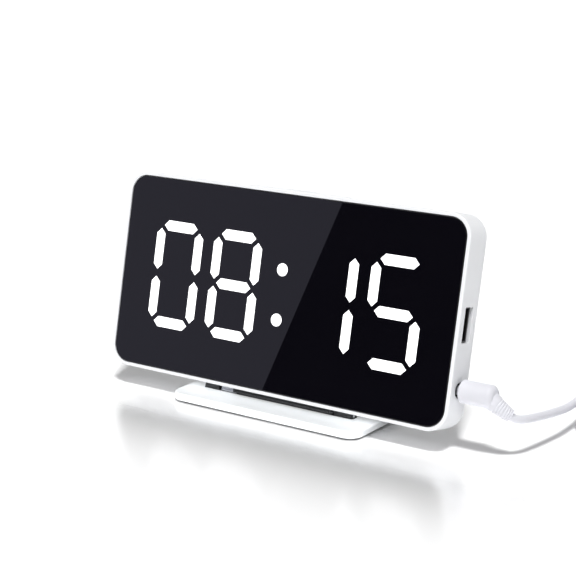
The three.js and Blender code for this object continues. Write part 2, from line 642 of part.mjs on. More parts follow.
// The neck joins the case to the hinge: a knuckle on the pin, an arm that runs forward below the case, a web
// through the case's floor and a flange that rests on the floor inside.
function hingeNeck() {
  const [from, to] = KNUCKLES.neck;
  const [width, middle] = [to - from, HINGE_SHIFT + (from + to) / 2];
  const front = NECK_IN - NECK_DEPTH / 2;
  const floor = CASE_WALL + CLEARANCE;
  const arm = roundRect(width, HINGE_IN - front, 0.2, middle, (HINGE_IN + front) / 2);
  const web = plate(roundRect(width, NECK_DEPTH, 0.3, middle, NECK_IN), HINGE_UP, floor + 1, 1);
  const seat = roundRect(width + 6, NECK_DEPTH + 3, 0.5, middle, NECK_IN - 0.6);
  const flange = plate(seat, floor, floor + NECK_FLANGE, 1);
  const knuckle = barrel(KNUCKLES.neck, HINGE_IN, HINGE_UP, false);
  const body = union([knuckle, plate(arm, HINGE_UP, -2 * CLEARANCE, 1), web, flange]);
  const bore = disc(PIN_RADIUS + CLEARANCE, HINGE_IN, HINGE_UP);
  return body.subtract(sideways(bore, HINGE_SHIFT + from - 1, HINGE_SHIFT + to + 1, 12));
}

function footSlot() {
  const [left, right] = [KNUCKLES.left[0] - 2 * CLEARANCE, KNUCKLES.right[1] + 2 * CLEARANCE];
  const middle = HINGE_SHIFT + (left + right) / 2;
  const depth = SLOT_BACK - SLOT_FRONT;
  return plate(roundRect(right - left, depth, 1.2, middle, (SLOT_BACK + SLOT_FRONT) / 2), 0, FOOT_TOP + 1, 3);
}

function leafOutline(grow) {
  return roundRect(LEAF_WIDTH + grow, LEAF_DEPTH + grow, 1.5, HINGE_SHIFT, HINGE_Y + 3);
}

function padSpots() {
  const [x, y] = [FOOT_WIDTH / 2 - PAD_INSET, FOOT_DEPTH / 2 - PAD_INSET];
  return [
    [-x, -y],
    [x, -y],
    [-x, y],
    [x, y],
  ];
}

function footPlate() {
  const ring = (inset, z) => {
    const shape = roundRect(FOOT_WIDTH - 2 * inset, FOOT_DEPTH - 2 * inset, FOOT_CORNER - inset);
    const points = shape.getPoints(ARC_STEPS);
    const kept = points.filter((p, i) => i === 0 || p.distanceTo(points[i - 1]) > 1e-6);
    if (kept[0].distanceTo(kept[kept.length - 1]) < 1e-6) kept.pop();
    return kept.map((p) => new THREE.Vector3(p.x, p.y, z));
  };
  const edge = quarterRound(FOOT_EDGE, FOOT_TOP - FOOT_EDGE, 3);
  const body = loft([[0, PAD_HEIGHT], ...edge].map(([inset, z]) => ring(inset, z)));
  const pocket = plate(leafOutline(2 * CLEARANCE), 0, PAD_HEIGHT + LEAF_THICKNESS + CLEARANCE, 2);
  const seatTop = PAD_HEIGHT + PAD_POCKET;
  const seats = padSpots().map(([x, y]) => plate(disc(PAD_RADIUS + CLEARANCE, x, y), 0, seatTop, 8));
  return carve(body, [pocket, footSlot(), ...seats]);
}

// The leaf lies in the foot's underside and carries the two end knuckles up through the slot.
function hingeLeaf() {
  const leafTop = PAD_HEIGHT + LEAF_THICKNESS;
  const leaf = plate(leafOutline(0), PAD_HEIGHT, leafTop, 2);
  const middle = HINGE_SHIFT + (KNUCKLES.left[1] + KNUCKLES.right[0]) / 2;
  const free = KNUCKLES.right[0] - KNUCKLES.left[1];
  const window = plate(roundRect(free, 2 * KNUCKLE_RADIUS + 1.2, 0.5, middle, HINGE_Y), 0, leafTop + 1, 1);
  const posts = [KNUCKLES.left, KNUCKLES.right].map(([from, to]) => {
    const foot = roundRect(to - from, 2 * KNUCKLE_RADIUS, 0.2, HINGE_SHIFT + (from + to) / 2, HINGE_Y);
    const knuckle = barrel([from, to], HINGE_Y, HINGE_HEIGHT, false);
    return plate(foot, PAD_HEIGHT + 0.1, HINGE_HEIGHT, 1).add(knuckle);
  });
  const [left, right] = [HINGE_SHIFT + KNUCKLES.left[0], HINGE_SHIFT + KNUCKLES.right[1]];
  const bore = sideways(disc(PIN_RADIUS + CLEARANCE, HINGE_Y, HINGE_HEIGHT), left + 1, right + 1, 5);
  const screws = leafScrewSpots().map(([x, y]) => plate(disc(0.9 + CLEARANCE, x, y), 0, leafTop + 1, 4));
  return carve(union([leaf.subtract(window), ...posts]), [bore, ...screws]);
}

function leafScrewSpots() {
  return [-1, 1].map((side) => [HINGE_SHIFT + side * (LEAF_WIDTH / 2 - 8), HINGE_Y + 7]);
}

function leafScrew([x, y]) {
  const head = plate(disc(1.9, x, y), PAD_HEIGHT - 0.3 - 0.4, PAD_HEIGHT - 0.3, 5);
  return head.add(plate(disc(0.9, x, y), PAD_HEIGHT - 0.5, PAD_HEIGHT + LEAF_THICKNESS, 4));
}

function buildFoot(group) {
  const pinStart = HINGE_SHIFT + KNUCKLES.left[0] + 1.3;
  const pinEnd = HINGE_SHIFT + KNUCKLES.right[1];
  const pin = sideways(disc(PIN_RADIUS, HINGE_Y, HINGE_HEIGHT), pinStart, pinEnd, 5);
  addPart(group, "foot_plate", footPlate(), whiteShell);
  addPart(group, "hinge_leaf", hingeLeaf(), darkGrey);
  addPart(group, "hinge_pin", pin, steel);
  addPart(group, "friction_sleeve", barrel(KNUCKLES.sleeve, HINGE_Y, HINGE_HEIGHT, true), steel);
  padSpots().forEach(([x, y], i) => {
    const pad = plate(disc(PAD_RADIUS, x, y), 0, PAD_HEIGHT + PAD_POCKET - CLEARANCE, 8);
    addPart(group, `foot_pad_${i + 1}`, pad, rubberGrey);
  });
  leafScrewSpots().forEach((spot, i) => addPart(group, `leaf_screw_${i + 1}`, leafScrew(spot), steel));
}

// ---- Supply lead --------------------------------------------------------------------------------

// The line of the strain relief, from inside the plug to where the cord comes out, measured from the
// middle of the plug's outer end.
const RELIEF_STEPS = [
  [-5.7, -0.02, -0.24],
  [-2, 0.18, -1.44],
  [1.7, 0.98, -4.04],
  [4.8, 2.58, -6.64],
];

// The cord's line from the strain relief to the coil's top turn, as it lies.
const CORD_POINTS = [
  [100.3, -7.25, 16.35],
  [102.2, -5.4, 15.2],
  [103.7, -2, 14.6],
  [104.5, 2.3, 14.1],
  [105.2, 8, 13.4],
  [105.9, 15, 12.7],
  [106.3, 24, 11.8],
  [106.2, 30.6, 11.5],
];

// The cord's line from the coil's bottom turn to the USB plug.
const TAIL_POINTS = [
  [149.4, 28.5, 2.1],
  [148.5, 26, 2.5],
  [147.3, 22, 3.2],
  [146.3, 18, 3.8],
  [146, 13.5, 4],
];

const COIL_TOP = (COIL_LAYERS - 1) * COIL_PITCH + CORD_DIAMETER + 0.2;
const USB_PLUG_X = TAIL_POINTS.at(-1)[0];
const USB_PLUG_START = TAIL_POINTS.at(-1)[1] - CLEARANCE;

function curveThrough(points) {
  return new THREE.CatmullRomCurve3(points.map((p) => new THREE.Vector3(...p)), false, "centripetal");
}

// Round rings across a curve, with a radius for each share of its length.
function roundRings(curve, steps, sides, radiusAt) {
  const frames = curve.computeFrenetFrames(steps, false);
  return Array.from({ length: steps + 1 }, (_, i) => {
    const centre = curve.getPointAt(i / steps);
    return Array.from({ length: sides }, (_, k) => {
      const angle = (2 * Math.PI * k) / sides;
      const radius = radiusAt(i / steps);
      const offset = frames.normals[i].clone().multiplyScalar(Math.cos(angle) * radius);
      return centre.clone().add(offset).addScaledVector(frames.binormals[i], Math.sin(angle) * radius);
    });
  });
}

function cordTube(points, steps) {
  const section = disc(CORD_DIAMETER / 2);
  const options = { steps, extrudePath: curveThrough(points), curveSegments: 8, bevelEnabled: false };
  return solid(new THREE.ExtrudeGeometry(section, options));
}

function leadAxis() {
  const y = CASE_FRONT_Y + PORT_DEPTH * Math.cos(LEAN) + JACK_UP * Math.sin(LEAN);
  const z = CASE_LIFT - PORT_DEPTH * Math.sin(LEAN) + JACK_UP * Math.cos(LEAN);
  return [y, z];
}

function reliefLine() {
  const [y, z] = leadAxis();
  const end = CASE_WIDTH / 2 + PLUG_STANDOFF + PLUG_LENGTH;
  return curveThrough(RELIEF_STEPS.map(([along, back, up]) => [end + along, y + back, z + up]));
}

// The relief, or with a gap added, the room for it in the plug.
function reliefBody(gap) {
  const start = PLUG_RADIUS - RELIEF_INSET;
  const taper = start - RELIEF_END_RADIUS;
  return loft(roundRings(reliefLine(), 8, 16, (t) => start + gap - taper * t));
}

function plugBody() {
  const [y, z] = leadAxis();
  const start = CASE_WIDTH / 2 + PLUG_STANDOFF;
  const rounding = 1.6;
  const end = start + PLUG_LENGTH;
  const profile = [new THREE.Vector2(0, start), new THREE.Vector2(PLUG_RADIUS - 0.4, start)];
  profile.push(new THREE.Vector2(PLUG_RADIUS, start + 0.4));
  for (let i = 0; i <= 4; i += 1) {
    const angle = ((Math.PI / 2) * i) / 4;
    const radius = PLUG_RADIUS - rounding + rounding * Math.cos(angle);
    profile.push(new THREE.Vector2(radius, end - rounding + rounding * Math.sin(angle)));
  }
  profile.push(new THREE.Vector2(0, end));
  const lathe = new THREE.LatheGeometry(profile, 24);
  lathe.rotateZ(-Math.PI / 2);
  lathe.translate(0, y, z);
  return solid(lathe);
}

function plugWithSocketForRelief() {
  return plugBody().subtract(reliefBody(CLEARANCE));
}

function plugBarrel() {
  const [y, z] = leadAxis();
  const root = CASE_WIDTH / 2 + PLUG_STANDOFF - CLEARANCE;
  const tube = sideways(disc(BARREL_RADIUS, y, z), root - BARREL_LENGTH, root, 7);
  const flange = sideways(disc(PLUG_RADIUS - 1.4, y, z), root - 0.6, root, 8);
  const bore = sideways(disc(BARREL_BORE_RADIUS, y, z), root - BARREL_LENGTH - 1, root - 1, 5);
  return tube.add(flange).subtract(bore);
}

function coilRing() {
  const outer = COIL_TURN_RADIUS + CORD_DIAMETER / 2 + 0.3;
  const inner = COIL_TURN_RADIUS + CORD_DIAMETER / 2 - COIL_SECTION - 0.3;
  const corners = [
    [inner, 0.1],
    [outer, 0.1],
    [outer, COIL_TOP],
    [inner, COIL_TOP],
    [inner, 0.1],
  ];
  const lathe = new THREE.LatheGeometry(corners.map((c) => new THREE.Vector2(...c)), 36);
  lathe.rotateX(Math.PI / 2);
  lathe.translate(COIL_CENTRE[0], COIL_CENTRE[1], 0);
  return solid(lathe);
}

function usbPlugGrip() {
  const shape = roundRect(USB_PLUG_WIDTH, USB_PLUG_THICKNESS, 1.6, 0, USB_PLUG_THICKNESS / 2 + 0.1);
  return layer(shape, 0, USB_PLUG_LENGTH, 3).translate([USB_PLUG_X, USB_PLUG_START - USB_PLUG_LENGTH, 0]);
}

function usbPlugTip() {
  const middle = USB_PLUG_THICKNESS / 2 + 0.1;
  const back = USB_PLUG_START - USB_PLUG_LENGTH - CLEARANCE;
  const front = back - USB_TIP_LENGTH;
  const shape = roundRect(USB_TIP_WIDTH, USB_TIP_THICKNESS, 0.5, USB_PLUG_X, middle);
  const bore = roundRect(USB_TIP_WIDTH - 0.6, USB_TIP_THICKNESS - 0.6, 0.3, USB_PLUG_X, middle);
  const tube = layer(shape, front, back, 2).subtract(layer(bore, front - 1, back - 1, 2));
  const tongue = roundRect(USB_TIP_WIDTH - 1, 1.7, 0.1, USB_PLUG_X, middle - 1);
  return tube.add(layer(tongue, front + 0.4, back - 0.5, 1));
}

function buildLead(group) {
  addPart(group, "dc_plug_body", plugWithSocketForRelief(), whiteLead);
  addPart(group, "dc_plug_barrel", plugBarrel(), steel);
  addPart(group, "strain_relief", reliefBody(0), whiteLead);
  addPart(group, "power_cord", cordTube(CORD_POINTS, 10), whiteLead);
  addPart(group, "cord_coil", coilRing(), whiteLead);
  addPart(group, "cord_tail", cordTube(TAIL_POINTS, 4), whiteLead);
  addPart(group, "usb_plug_grip", usbPlugGrip(), whiteLead);
  addPart(group, "usb_plug_tip", usbPlugTip(), steel);
}

// ---- Assembly -----------------------------------------------------------------------------------

function buildCase(group) {
  addPart(group, "front_housing", frontHousing(), whiteShell);
  addPart(group, "back_cover", backCover(), whiteShell);
  addPart(group, "hinge_neck", hingeNeck(), darkGrey);
  const screwSpots = [-1, 1].flatMap((side) => BOSS_ROWS.map((up) => [side * BOSS_X, up]));
  screwSpots.forEach(([x, up], i) => addPart(group, `case_screw_${i + 1}`, caseScrew(x, up), steel));
  buildDisplay(group);
  buildPower(group);
  buildSoundAndCell(group);
  buildControls(group);
}

const clock = new THREE.Group();
const caseGroup = new THREE.Group();
caseGroup.rotation.x = -LEAN;
caseGroup.position.set(0, CASE_FRONT_Y, CASE_LIFT);
const footGroup = new THREE.Group();
const leadGroup = new THREE.Group();
buildCase(caseGroup);
buildFoot(footGroup);
buildLead(leadGroup);
clock.add(caseGroup, footGroup, leadGroup);

export default clock;
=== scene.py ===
# %% [markdown]
# # A mirror alarm clock that leans back on its foot
#
# The clock is a slim white case with a dark mirror on the front, tilted on a hinged foot plate. A USB
# socket and a round power inlet sit in its right side, and a white lead is plugged into the inlet. The
# CAD model settles every size and every joint. This script gives each visible piece its true edges,
# seams and finish, one piece per cell.
#
# Lengths are written in millimetres, as a maker would, and turned into metres when a piece is put in
# its place.

import json
import math

import bmesh
import bpy
from mathutils import Matrix, Vector

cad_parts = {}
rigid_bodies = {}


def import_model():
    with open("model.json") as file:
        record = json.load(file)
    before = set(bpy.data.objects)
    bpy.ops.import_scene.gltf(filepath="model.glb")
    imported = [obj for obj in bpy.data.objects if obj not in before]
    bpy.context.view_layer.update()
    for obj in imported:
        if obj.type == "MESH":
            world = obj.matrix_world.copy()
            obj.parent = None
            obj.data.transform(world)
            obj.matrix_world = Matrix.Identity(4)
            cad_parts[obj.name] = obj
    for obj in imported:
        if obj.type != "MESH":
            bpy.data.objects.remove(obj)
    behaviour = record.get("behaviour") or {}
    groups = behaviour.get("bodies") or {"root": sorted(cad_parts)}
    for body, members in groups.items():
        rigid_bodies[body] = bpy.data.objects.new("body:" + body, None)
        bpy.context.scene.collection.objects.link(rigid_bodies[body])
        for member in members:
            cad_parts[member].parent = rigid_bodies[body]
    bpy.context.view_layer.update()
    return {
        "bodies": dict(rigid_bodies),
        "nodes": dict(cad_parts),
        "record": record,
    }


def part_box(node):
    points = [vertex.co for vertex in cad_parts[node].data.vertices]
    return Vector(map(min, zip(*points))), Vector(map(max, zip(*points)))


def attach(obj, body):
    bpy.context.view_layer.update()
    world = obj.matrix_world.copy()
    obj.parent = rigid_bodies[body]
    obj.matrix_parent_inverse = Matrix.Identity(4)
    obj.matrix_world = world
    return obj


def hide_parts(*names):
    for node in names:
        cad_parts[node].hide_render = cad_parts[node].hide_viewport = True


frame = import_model()
MM = 0.001
print("bodies:", ", ".join(frame["bodies"]))

# %% [markdown]
# ## Where the case is
#
# The case leans back, so its pieces are drawn upright first, in the case's own directions: x to the
# right, y in from the front and z up the front. One matrix then leans them back and puts them where the
# CAD's mirror panel lies. The foot and the lead aren't leaned, and need only the change from
# millimetres to metres.

# %% The two placing matrices
LEAN = math.radians(12.3)
PANEL_INSET = 1.7
PANEL_THICKNESS = 1.2

panel_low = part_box("mirror_panel")[0] / MM
front_y = panel_low.y - PANEL_INSET * math.sin(LEAN)
front_z = panel_low.z + PANEL_THICKNESS * math.sin(LEAN) - PANEL_INSET * math.cos(LEAN)
SIZE = Matrix.Diagonal((MM, MM, MM, 1))
UPRIGHT = SIZE
CASE = SIZE @ Matrix.Translation((0, front_y, front_z)) @ Matrix.Rotation(-LEAN, 4, "X")
print(f"case's lower front edge at y {front_y:.2f}, z {front_z:.2f} mm")

# %% [markdown]
# ## Camera
#
# A product picture like this is taken with a long lens from the front right, a little above the clock.
# A long lens keeps the case's top and bottom edges almost parallel.

# %% Camera
EYE = Vector((354.076, -510.284, 207.808))
ACROSS = Vector((0.81909, 0.57366, 0))
UP = Vector((-0.14290, 0.20403, 0.96848))
BACK = ACROSS.cross(UP).normalized()

lens = bpy.data.cameras.new("studio_camera")
lens.lens = 101.7
lens.sensor_width = 36
lens.clip_start = 0.01
lens.clip_end = 60
camera = bpy.data.objects.new("studio_camera", lens)
turn = Matrix((ACROSS, UP, BACK)).transposed().to_4x4()
camera.matrix_world = Matrix.Translation(EYE * MM) @ turn
bpy.context.scene.collection.objects.link(camera)
bpy.context.scene.camera = camera
print("camera", [round(v, 3) for v in camera.matrix_world.translation])

# %% [markdown]
# ## Node trees that read like arithmetic
#
# Both materials and Geometry Nodes are graphs of sockets. `Wire` wraps a socket, so that
# `1 - mask * 0.5` adds the Math nodes for us. `Page` adds any other node in one call: its type, its
# settings and what goes into its sockets.

# %% Wire and Page
class Wire:
    """A socket that takes part in arithmetic."""

    def __init__(self, page, socket):
        self.page = page
        self.socket = socket

    def __add__(self, other):
        return self.page.maths("ADD", self, other)

    def __sub__(self, other):
        return self.page.maths("SUBTRACT", self, other)

    def __rsub__(self, other):
        return self.page.maths("SUBTRACT", other, self)

    def __mul__(self, other):
        return self.page.maths("MULTIPLY", self, other)

    def __truediv__(self, other):
        return self.page.maths("DIVIDE", self, other)

    __radd__ = __add__
    __rmul__ = __mul__

    def size(self):
        return self.page.maths("ABSOLUTE", self)

    def sign(self):
        return self.page.maths("SIGN", self)

    def wave(self):
        return self.page.maths("SINE", self)

    def least(self, other):
        return self.page.maths("MINIMUM", self, other)

    def most(self, other):
        return self.page.maths("MAXIMUM", self, other)

    def other(self, name):
        """Another output of the node that this socket is on."""
        return Wire(self.page, self.socket.node.outputs[name])


class Page:
    """A node tree that is written on."""

    def __init__(self, tree):
        self.tree = tree

    def node(self, kind, settings=None, inputs=None, output=0):
        made = self.tree.nodes.new(kind)
        for name, value in (settings or {}).items():
            setattr(made, name, value)
        for name, value in (inputs or {}).items():
            self.feed(made.inputs[name], value)
        return Wire(self, made.outputs[output]) if len(made.outputs) else None

    def feed(self, socket, value):
        if isinstance(value, Wire):
            self.tree.links.new(value.socket, socket)
        elif isinstance(value, list):
            for wire in value:
                self.tree.links.new(wire.socket, socket)
        else:
            socket.default_value = value

    def maths(self, operation, a, b=0.0):
        return self.node("ShaderNodeMath", {"operation": operation}, {0: a, 1: b})

    def split(self, vector):
        parts = self.node("ShaderNodeSeparateXYZ", inputs={0: vector})
        return parts, parts.other("Y"), parts.other("Z")

    def join(self, x=0.0, y=0.0, z=0.0):
        return self.node("ShaderNodeCombineXYZ", inputs={0: x, 1: y, 2: z})


print("node helpers ready")

# %% [markdown]
# ## Finishes
#
# No moulded or machined surface is one flat colour. Each finish below starts from noise on the piece's
# own coordinates, at the real scale of its grain. The noise moves the colour and roughness a little,
# and lifts a fine bump.

# %% The general finish
def start_material(name):
    material = bpy.data.materials.new(name)
    material.use_nodes = True
    material.node_tree.nodes.clear()
    return material, Page(material.node_tree)


def noise(page, scale, detail=3.0, stretch=None):
    place = page.node("ShaderNodeTexCoord", output="Object")
    if stretch:
        place = page.node("ShaderNodeMapping", inputs={"Vector": place, "Scale": stretch})
    return page.node("ShaderNodeTexNoise", inputs={"Vector": place, "Scale": scale, "Detail": detail})


def blend_colours(page, factor, a, b):
    inputs = {0: factor, 6: (*a, 1), 7: (*b, 1)}
    return page.node("ShaderNodeMix", {"data_type": "RGBA"}, inputs, output=2)


def end_material(page, inputs):
    shader = page.node("ShaderNodeBsdfPrincipled", inputs=inputs)
    page.node("ShaderNodeOutputMaterial", inputs={"Surface": shader})


DRIFT_SCALE = 60.0


def surface(name, dark, light, rough, grain, lift, metal=0.0, stretch=None):
    """A finish whose colour drifts from dark to light, with roughness from rough[0] to rough[1]."""
    material, page = start_material(name)
    drift = noise(page, DRIFT_SCALE, 4.0)
    fine = noise(page, grain, 2.0, stretch)
    colour = blend_colours(page, (drift * 0.6 + fine * 0.4), dark, light)
    roughness = fine * (rough[1] - rough[0]) + rough[0]
    bump = page.node("ShaderNodeBump", inputs={"Strength": lift, "Distance": 0.0002, "Height": fine})
    inputs = {"Base Color": colour, "Roughness": roughness, "Metallic": metal, "Normal": bump}
    end_material(page, inputs)
    material.diffuse_color = (*light, 1)
    return material


print("finish helper ready")

# %% [markdown]
# The shell is injection-moulded ABS with a fine satin grain. The lead is soft PVC, a touch lilac and
# more matt. Metal parts show drawn or turned lines, so their noise is stretched along one direction.

# %% The finishes
WHITE = surface("white_shell", (0.83, 0.84, 0.86), (0.90, 0.91, 0.93), (0.28, 0.40), 5200, 0.05)
FOOT_WHITE = surface("white_foot", (0.84, 0.86, 0.87), (0.91, 0.93, 0.94), (0.16, 0.26), 5200, 0.03)
LEAD = surface("white_lead", (0.82, 0.82, 0.88), (0.90, 0.90, 0.95), (0.42, 0.55), 3800, 0.06)
KEY = surface("key_grey", (0.60, 0.63, 0.67), (0.70, 0.73, 0.77), (0.38, 0.50), 4600, 0.07)
BLACK = surface("black_plastic", (0.008, 0.008, 0.010), (0.022, 0.022, 0.026), (0.45, 0.62), 4200, 0.12)
DARK = surface("dark_grey", (0.022, 0.022, 0.024), (0.050, 0.050, 0.053), (0.42, 0.60), 6000, 0.15)
RUBBER = surface("rubber_grey", (0.035, 0.035, 0.038), (0.075, 0.075, 0.080), (0.75, 0.92), 3000, 0.35)
STEEL = surface(
    "steel",
    (0.42, 0.43, 0.45),
    (0.62, 0.63, 0.65),
    (0.20, 0.38),
    900,
    0.10,
    metal=1.0,
    stretch=(1, 14, 14),
)
# The socket's nickel is given a colour far darker than bare nickel: painted shade for the dark inside of the
# USB opening.
NICKEL_PAINTED_SHADE = surface(
    "nickel_painted_shade",
    (0.10, 0.10, 0.105),
    (0.17, 0.17, 0.175),
    (0.25, 0.42),
    1200,
    0.10,
    metal=1.0,
    stretch=(1, 9, 9),
)
GOLD = surface(
    "contact_gold",
    (0.60, 0.42, 0.18),
    (0.78, 0.58, 0.28),
    (0.22, 0.36),
    2500,
    0.05,
    metal=1.0,
    stretch=(1, 6, 6),
)
BOARD = surface("board_green", (0.010, 0.060, 0.028), (0.022, 0.110, 0.055), (0.30, 0.45), 1800, 0.10)
FILM = surface("milky_film", (0.80, 0.80, 0.80), (0.90, 0.90, 0.90), (0.55, 0.70), 2500, 0.05)
print("finishes:", len(bpy.data.materials))

# %% [markdown]
# The mirror is dark tinted glass. Almost all of what it shows is reflection, so its own colour is close
# to black and its roughness is tiny. A faint cloud in the roughness keeps the reflection from looking
# computer-perfect.

# %% The mirror and the lit segments
def mirror_finish():
    material, page = start_material("dark_mirror")
    haze = noise(page, 35, 5.0)
    colour = blend_colours(page, haze, (0.0010, 0.0010, 0.0014), (0.0020, 0.0018, 0.0026))
    roughness = haze * 0.012 + 0.004
    end_material(page, {"Base Color": colour, "Roughness": roughness, "IOR": 1.5})
    return material


def light_finish():
    material, page = start_material("led_white")
    glow = noise(page, 220, 2.0)
    colour = blend_colours(page, glow, (0.97, 0.97, 0.99), (1.0, 1.0, 1.0))
    inputs = {"Base Color": (0.9, 0.9, 0.9, 1), "Roughness": 0.35}
    inputs.update({"Emission Color": colour, "Emission Strength": 1.05})
    end_material(page, inputs)
    return material


MIRROR = mirror_finish()
LIGHT = light_finish()
print("mirror and light ready")

# %% [markdown]
# ## Ways to make a mesh
#
# Most pieces are a skin stretched over rings: a rounded rectangle repeated at several depths, or a
# circle repeated along a line. Rings give clean strips of quads, and every edge can have a true radius.

# %% Outlines, skins and turned shapes
def outline(width, height, corner, x=0.0, y=0.0, steps=10):
    """Points anticlockwise round a rounded rectangle."""
    corner = min(max(corner, 0.02), width / 2 - 0.001, height / 2 - 0.001)
    points = []
    for side_x, side_y, start in ((1, -1, -90), (1, 1, 0), (-1, 1, 90), (-1, -1, 180)):
        for i in range(steps + 1):
            angle = math.radians(start + 90 * i / steps)
            across = x + side_x * (width / 2 - corner) + corner * math.cos(angle)
            along = y + side_y * (height / 2 - corner) + corner * math.sin(angle)
            points.append((across, along))
    return points


def circle(radius, x=0.0, y=0.0, steps=48):
    angles = [2 * math.pi * i / steps for i in range(steps)]
    return [(x + radius * math.cos(a), y + radius * math.sin(a)) for a in angles]


def piece_from(name, bm):
    mesh = bpy.data.meshes.new(name)
    bmesh.ops.remove_doubles(bm, verts=bm.verts, dist=1e-4)
    bmesh.ops.dissolve_degenerate(bm, edges=bm.edges, dist=1e-4)
    bmesh.ops.recalc_face_normals(bm, faces=bm.faces)
    bm.to_mesh(mesh)
    bm.free()
    piece = bpy.data.objects.new(name, mesh)
    bpy.context.scene.collection.objects.link(piece)
    return piece


def skin(name, rings, looped=False):
    """A skin over rings of points. A looped one joins its last ring to its first; any other gets two caps."""
    bm = bmesh.new()
    rows = [[bm.verts.new(p) for p in ring] for ring in rings]
    count = len(rows[0])
    pairs = list(zip(rows, rows[1:])) + ([(rows[-1], rows[0])] if looped else [])
    for lower, upper in pairs:
        for i in range(count):
            j = (i + 1) % count
            bm.faces.new((lower[i], lower[j], upper[j], upper[i]))
    if not looped:
        bm.faces.new(reversed(rows[0]))
        bm.faces.new(rows[-1])
    return piece_from(name, bm)


def arc(radius, start, end, x, y, steps):
    """Points on an arc, in degrees, for a profile."""
    turns = [math.radians(start + (end - start) * i / steps) for i in range(steps + 1)]
    return [(x + radius * math.cos(t), y + radius * math.sin(t)) for t in turns]


def turned(name, profile, steps=48):
    """A shape turned about z. Its profile of (radius, height) starts and ends on the axis, or closes."""
    open_bore = profile[0][0] > 0.001
    rings = []
    for radius, height in profile:
        angles = [2 * math.pi * i / steps for i in range(steps)]
        radius = max(radius, 1e-5)
        rings.append([(radius * math.cos(a), radius * math.sin(a), height) for a in angles])
    return skin(name, rings, looped=open_bore)


def across_case(points, depth):
    """A flat outline laid across the case: its second number goes up the front."""
    return [(x, depth, up) for x, up in points]


def along_x(points, x):
    return [(x, y, z) for y, z in points]


def level(points, z):
    return [(x, y, z) for x, y in points]


print("mesh helpers ready")

# %% [markdown]
# Holes are cut with an exact Boolean. A narrow Bevel then breaks every sharp edge, as a mould or a
# tumbler does, and Weighted Normals keeps the large faces flat beside those narrow strips.

# %% Cutting, softening and placing
def settle(piece):
    """The piece's modifiers become its plain mesh."""
    graph = bpy.context.evaluated_depsgraph_get()
    mesh = bpy.data.meshes.new_from_object(piece.evaluated_get(graph), depsgraph=graph)
    piece.modifiers.clear()
    piece.data = mesh
    return piece


def carve(piece, cutters):
    """Cuts the cutters out of the piece, and removes them."""
    for cutter in cutters:
        cut = piece.modifiers.new("cut", "BOOLEAN")
        cut.operation, cut.solver, cut.object = "DIFFERENCE", "EXACT", cutter
    settle(piece)
    for cutter in cutters:
        bpy.data.objects.remove(cutter)
    return piece


def soften(piece, width=0.15, segments=2, angle=40):
    """Rounds the sharp edges and shades the rest smooth."""
    if width:
        bevel = piece.modifiers.new("edge", "BEVEL")
        bevel.width, bevel.segments = width, segments
        bevel.limit_method, bevel.angle_limit = "ANGLE", math.radians(angle)
        bevel.miter_outer = "MITER_ARC"
    settle(piece)
    piece.data.shade_smooth()
    weigh = piece.modifiers.new("flats", "WEIGHTED_NORMAL")
    weigh.weight = 100
    return settle(piece)


def joined(name, pieces):
    """Several pieces as one object. Each keeps its own closed skin."""
    bm = bmesh.new()
    for part in pieces:
        bm.from_mesh(part.data)
        bpy.data.objects.remove(part)
    mesh = bpy.data.meshes.new(name)
    bm.to_mesh(mesh)
    bm.free()
    piece = bpy.data.objects.new(name, mesh)
    bpy.context.scene.collection.objects.link(piece)
    mesh.shade_smooth()
    return piece


def place(piece, where, material, body, slot, stands_for=()):
    """Puts a finished piece in its place, gives it its finish and fastens it to its body."""
    piece.data.transform(where)
    if material:
        piece.data.materials.clear()
        piece.data.materials.append(material)
    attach(piece, body)
    if stands_for:
        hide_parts(*stands_for)
    print(f"{piece.name}: {len(piece.data.polygons)} faces on {body}")
    return piece


print("cutting helpers ready")

# %% [markdown]
# ## The supply lead
#
# The lead is one length of cord, 1.5 m from the plug in the clock to the USB plug at its far end. It
# leaves the strain relief downwards, runs back beside the clock, and lies on top of a neat coil of four
# layers that holds the length that isn't needed. Each layer is a spiral whose turns lie one pitch
# apart. At its end the cord drops to the layer below and winds back the other way, so no turn ever
# meets another. The last turn lies on the table and leads to the USB plug.

# %% The cord's line
CORD_DIAMETER = 3.2
ROUTE = [
    (99.3, -7.86, 17.3),
    (100.3, -7.25, 16.35),
    (102.2, -5.4, 15.2),
    (103.7, -2, 14.6),
    (104.5, 2.3, 14.1),
    (105.2, 8, 13.4),
    (105.9, 15, 12.7),
    (106.3, 24, 11.8),
    (106.2, 30.6, 11.5),
    (105.8, 38, 11.45),
]
TAIL = [
    (152.3, 41, 1.7),
    (152, 38, 1.7),
    (151.1, 34, 1.7),
    (149.9, 30, 1.9),
    (148.5, 26, 2.5),
    (147.3, 22, 3.2),
    (146.3, 18, 3.8),
    (146, 13.5, 4),
    (146, 10, 4),
]
COIL_CENTRE = (128.8, 46)
COIL_OUTER, COIL_PITCH, COIL_FLOOR = 23.6, 3.25, 1.7
COIL_LAYERS, TURNS_PER_LAYER, DROP_TURNS = 4, 2.875, 0.15
POINTS_PER_TURN = 20


def coil_point(turns):
    """The cord's centre after so many turns, clockwise from above, from the coil's left side."""
    layer = min(int(turns / TURNS_PER_LAYER), COIL_LAYERS - 1)
    within = turns - layer * TURNS_PER_LAYER
    winding = TURNS_PER_LAYER - DROP_TURNS
    inward = min(within, winding) * COIL_PITCH
    radius = COIL_OUTER - (inward if layer % 2 == 0 else winding * COIL_PITCH - inward)
    drop = max(within - winding, 0) / DROP_TURNS
    if layer == COIL_LAYERS - 1:
        drop = 0
    fallen = COIL_PITCH * (layer + drop * drop * (3 - 2 * drop))
    height = COIL_FLOOR + (COIL_LAYERS - 1) * COIL_PITCH - fallen
    angle = math.pi - 2 * math.pi * turns
    x = COIL_CENTRE[0] + radius * math.cos(angle)
    return (x, COIL_CENTRE[1] + radius * math.sin(angle), height)


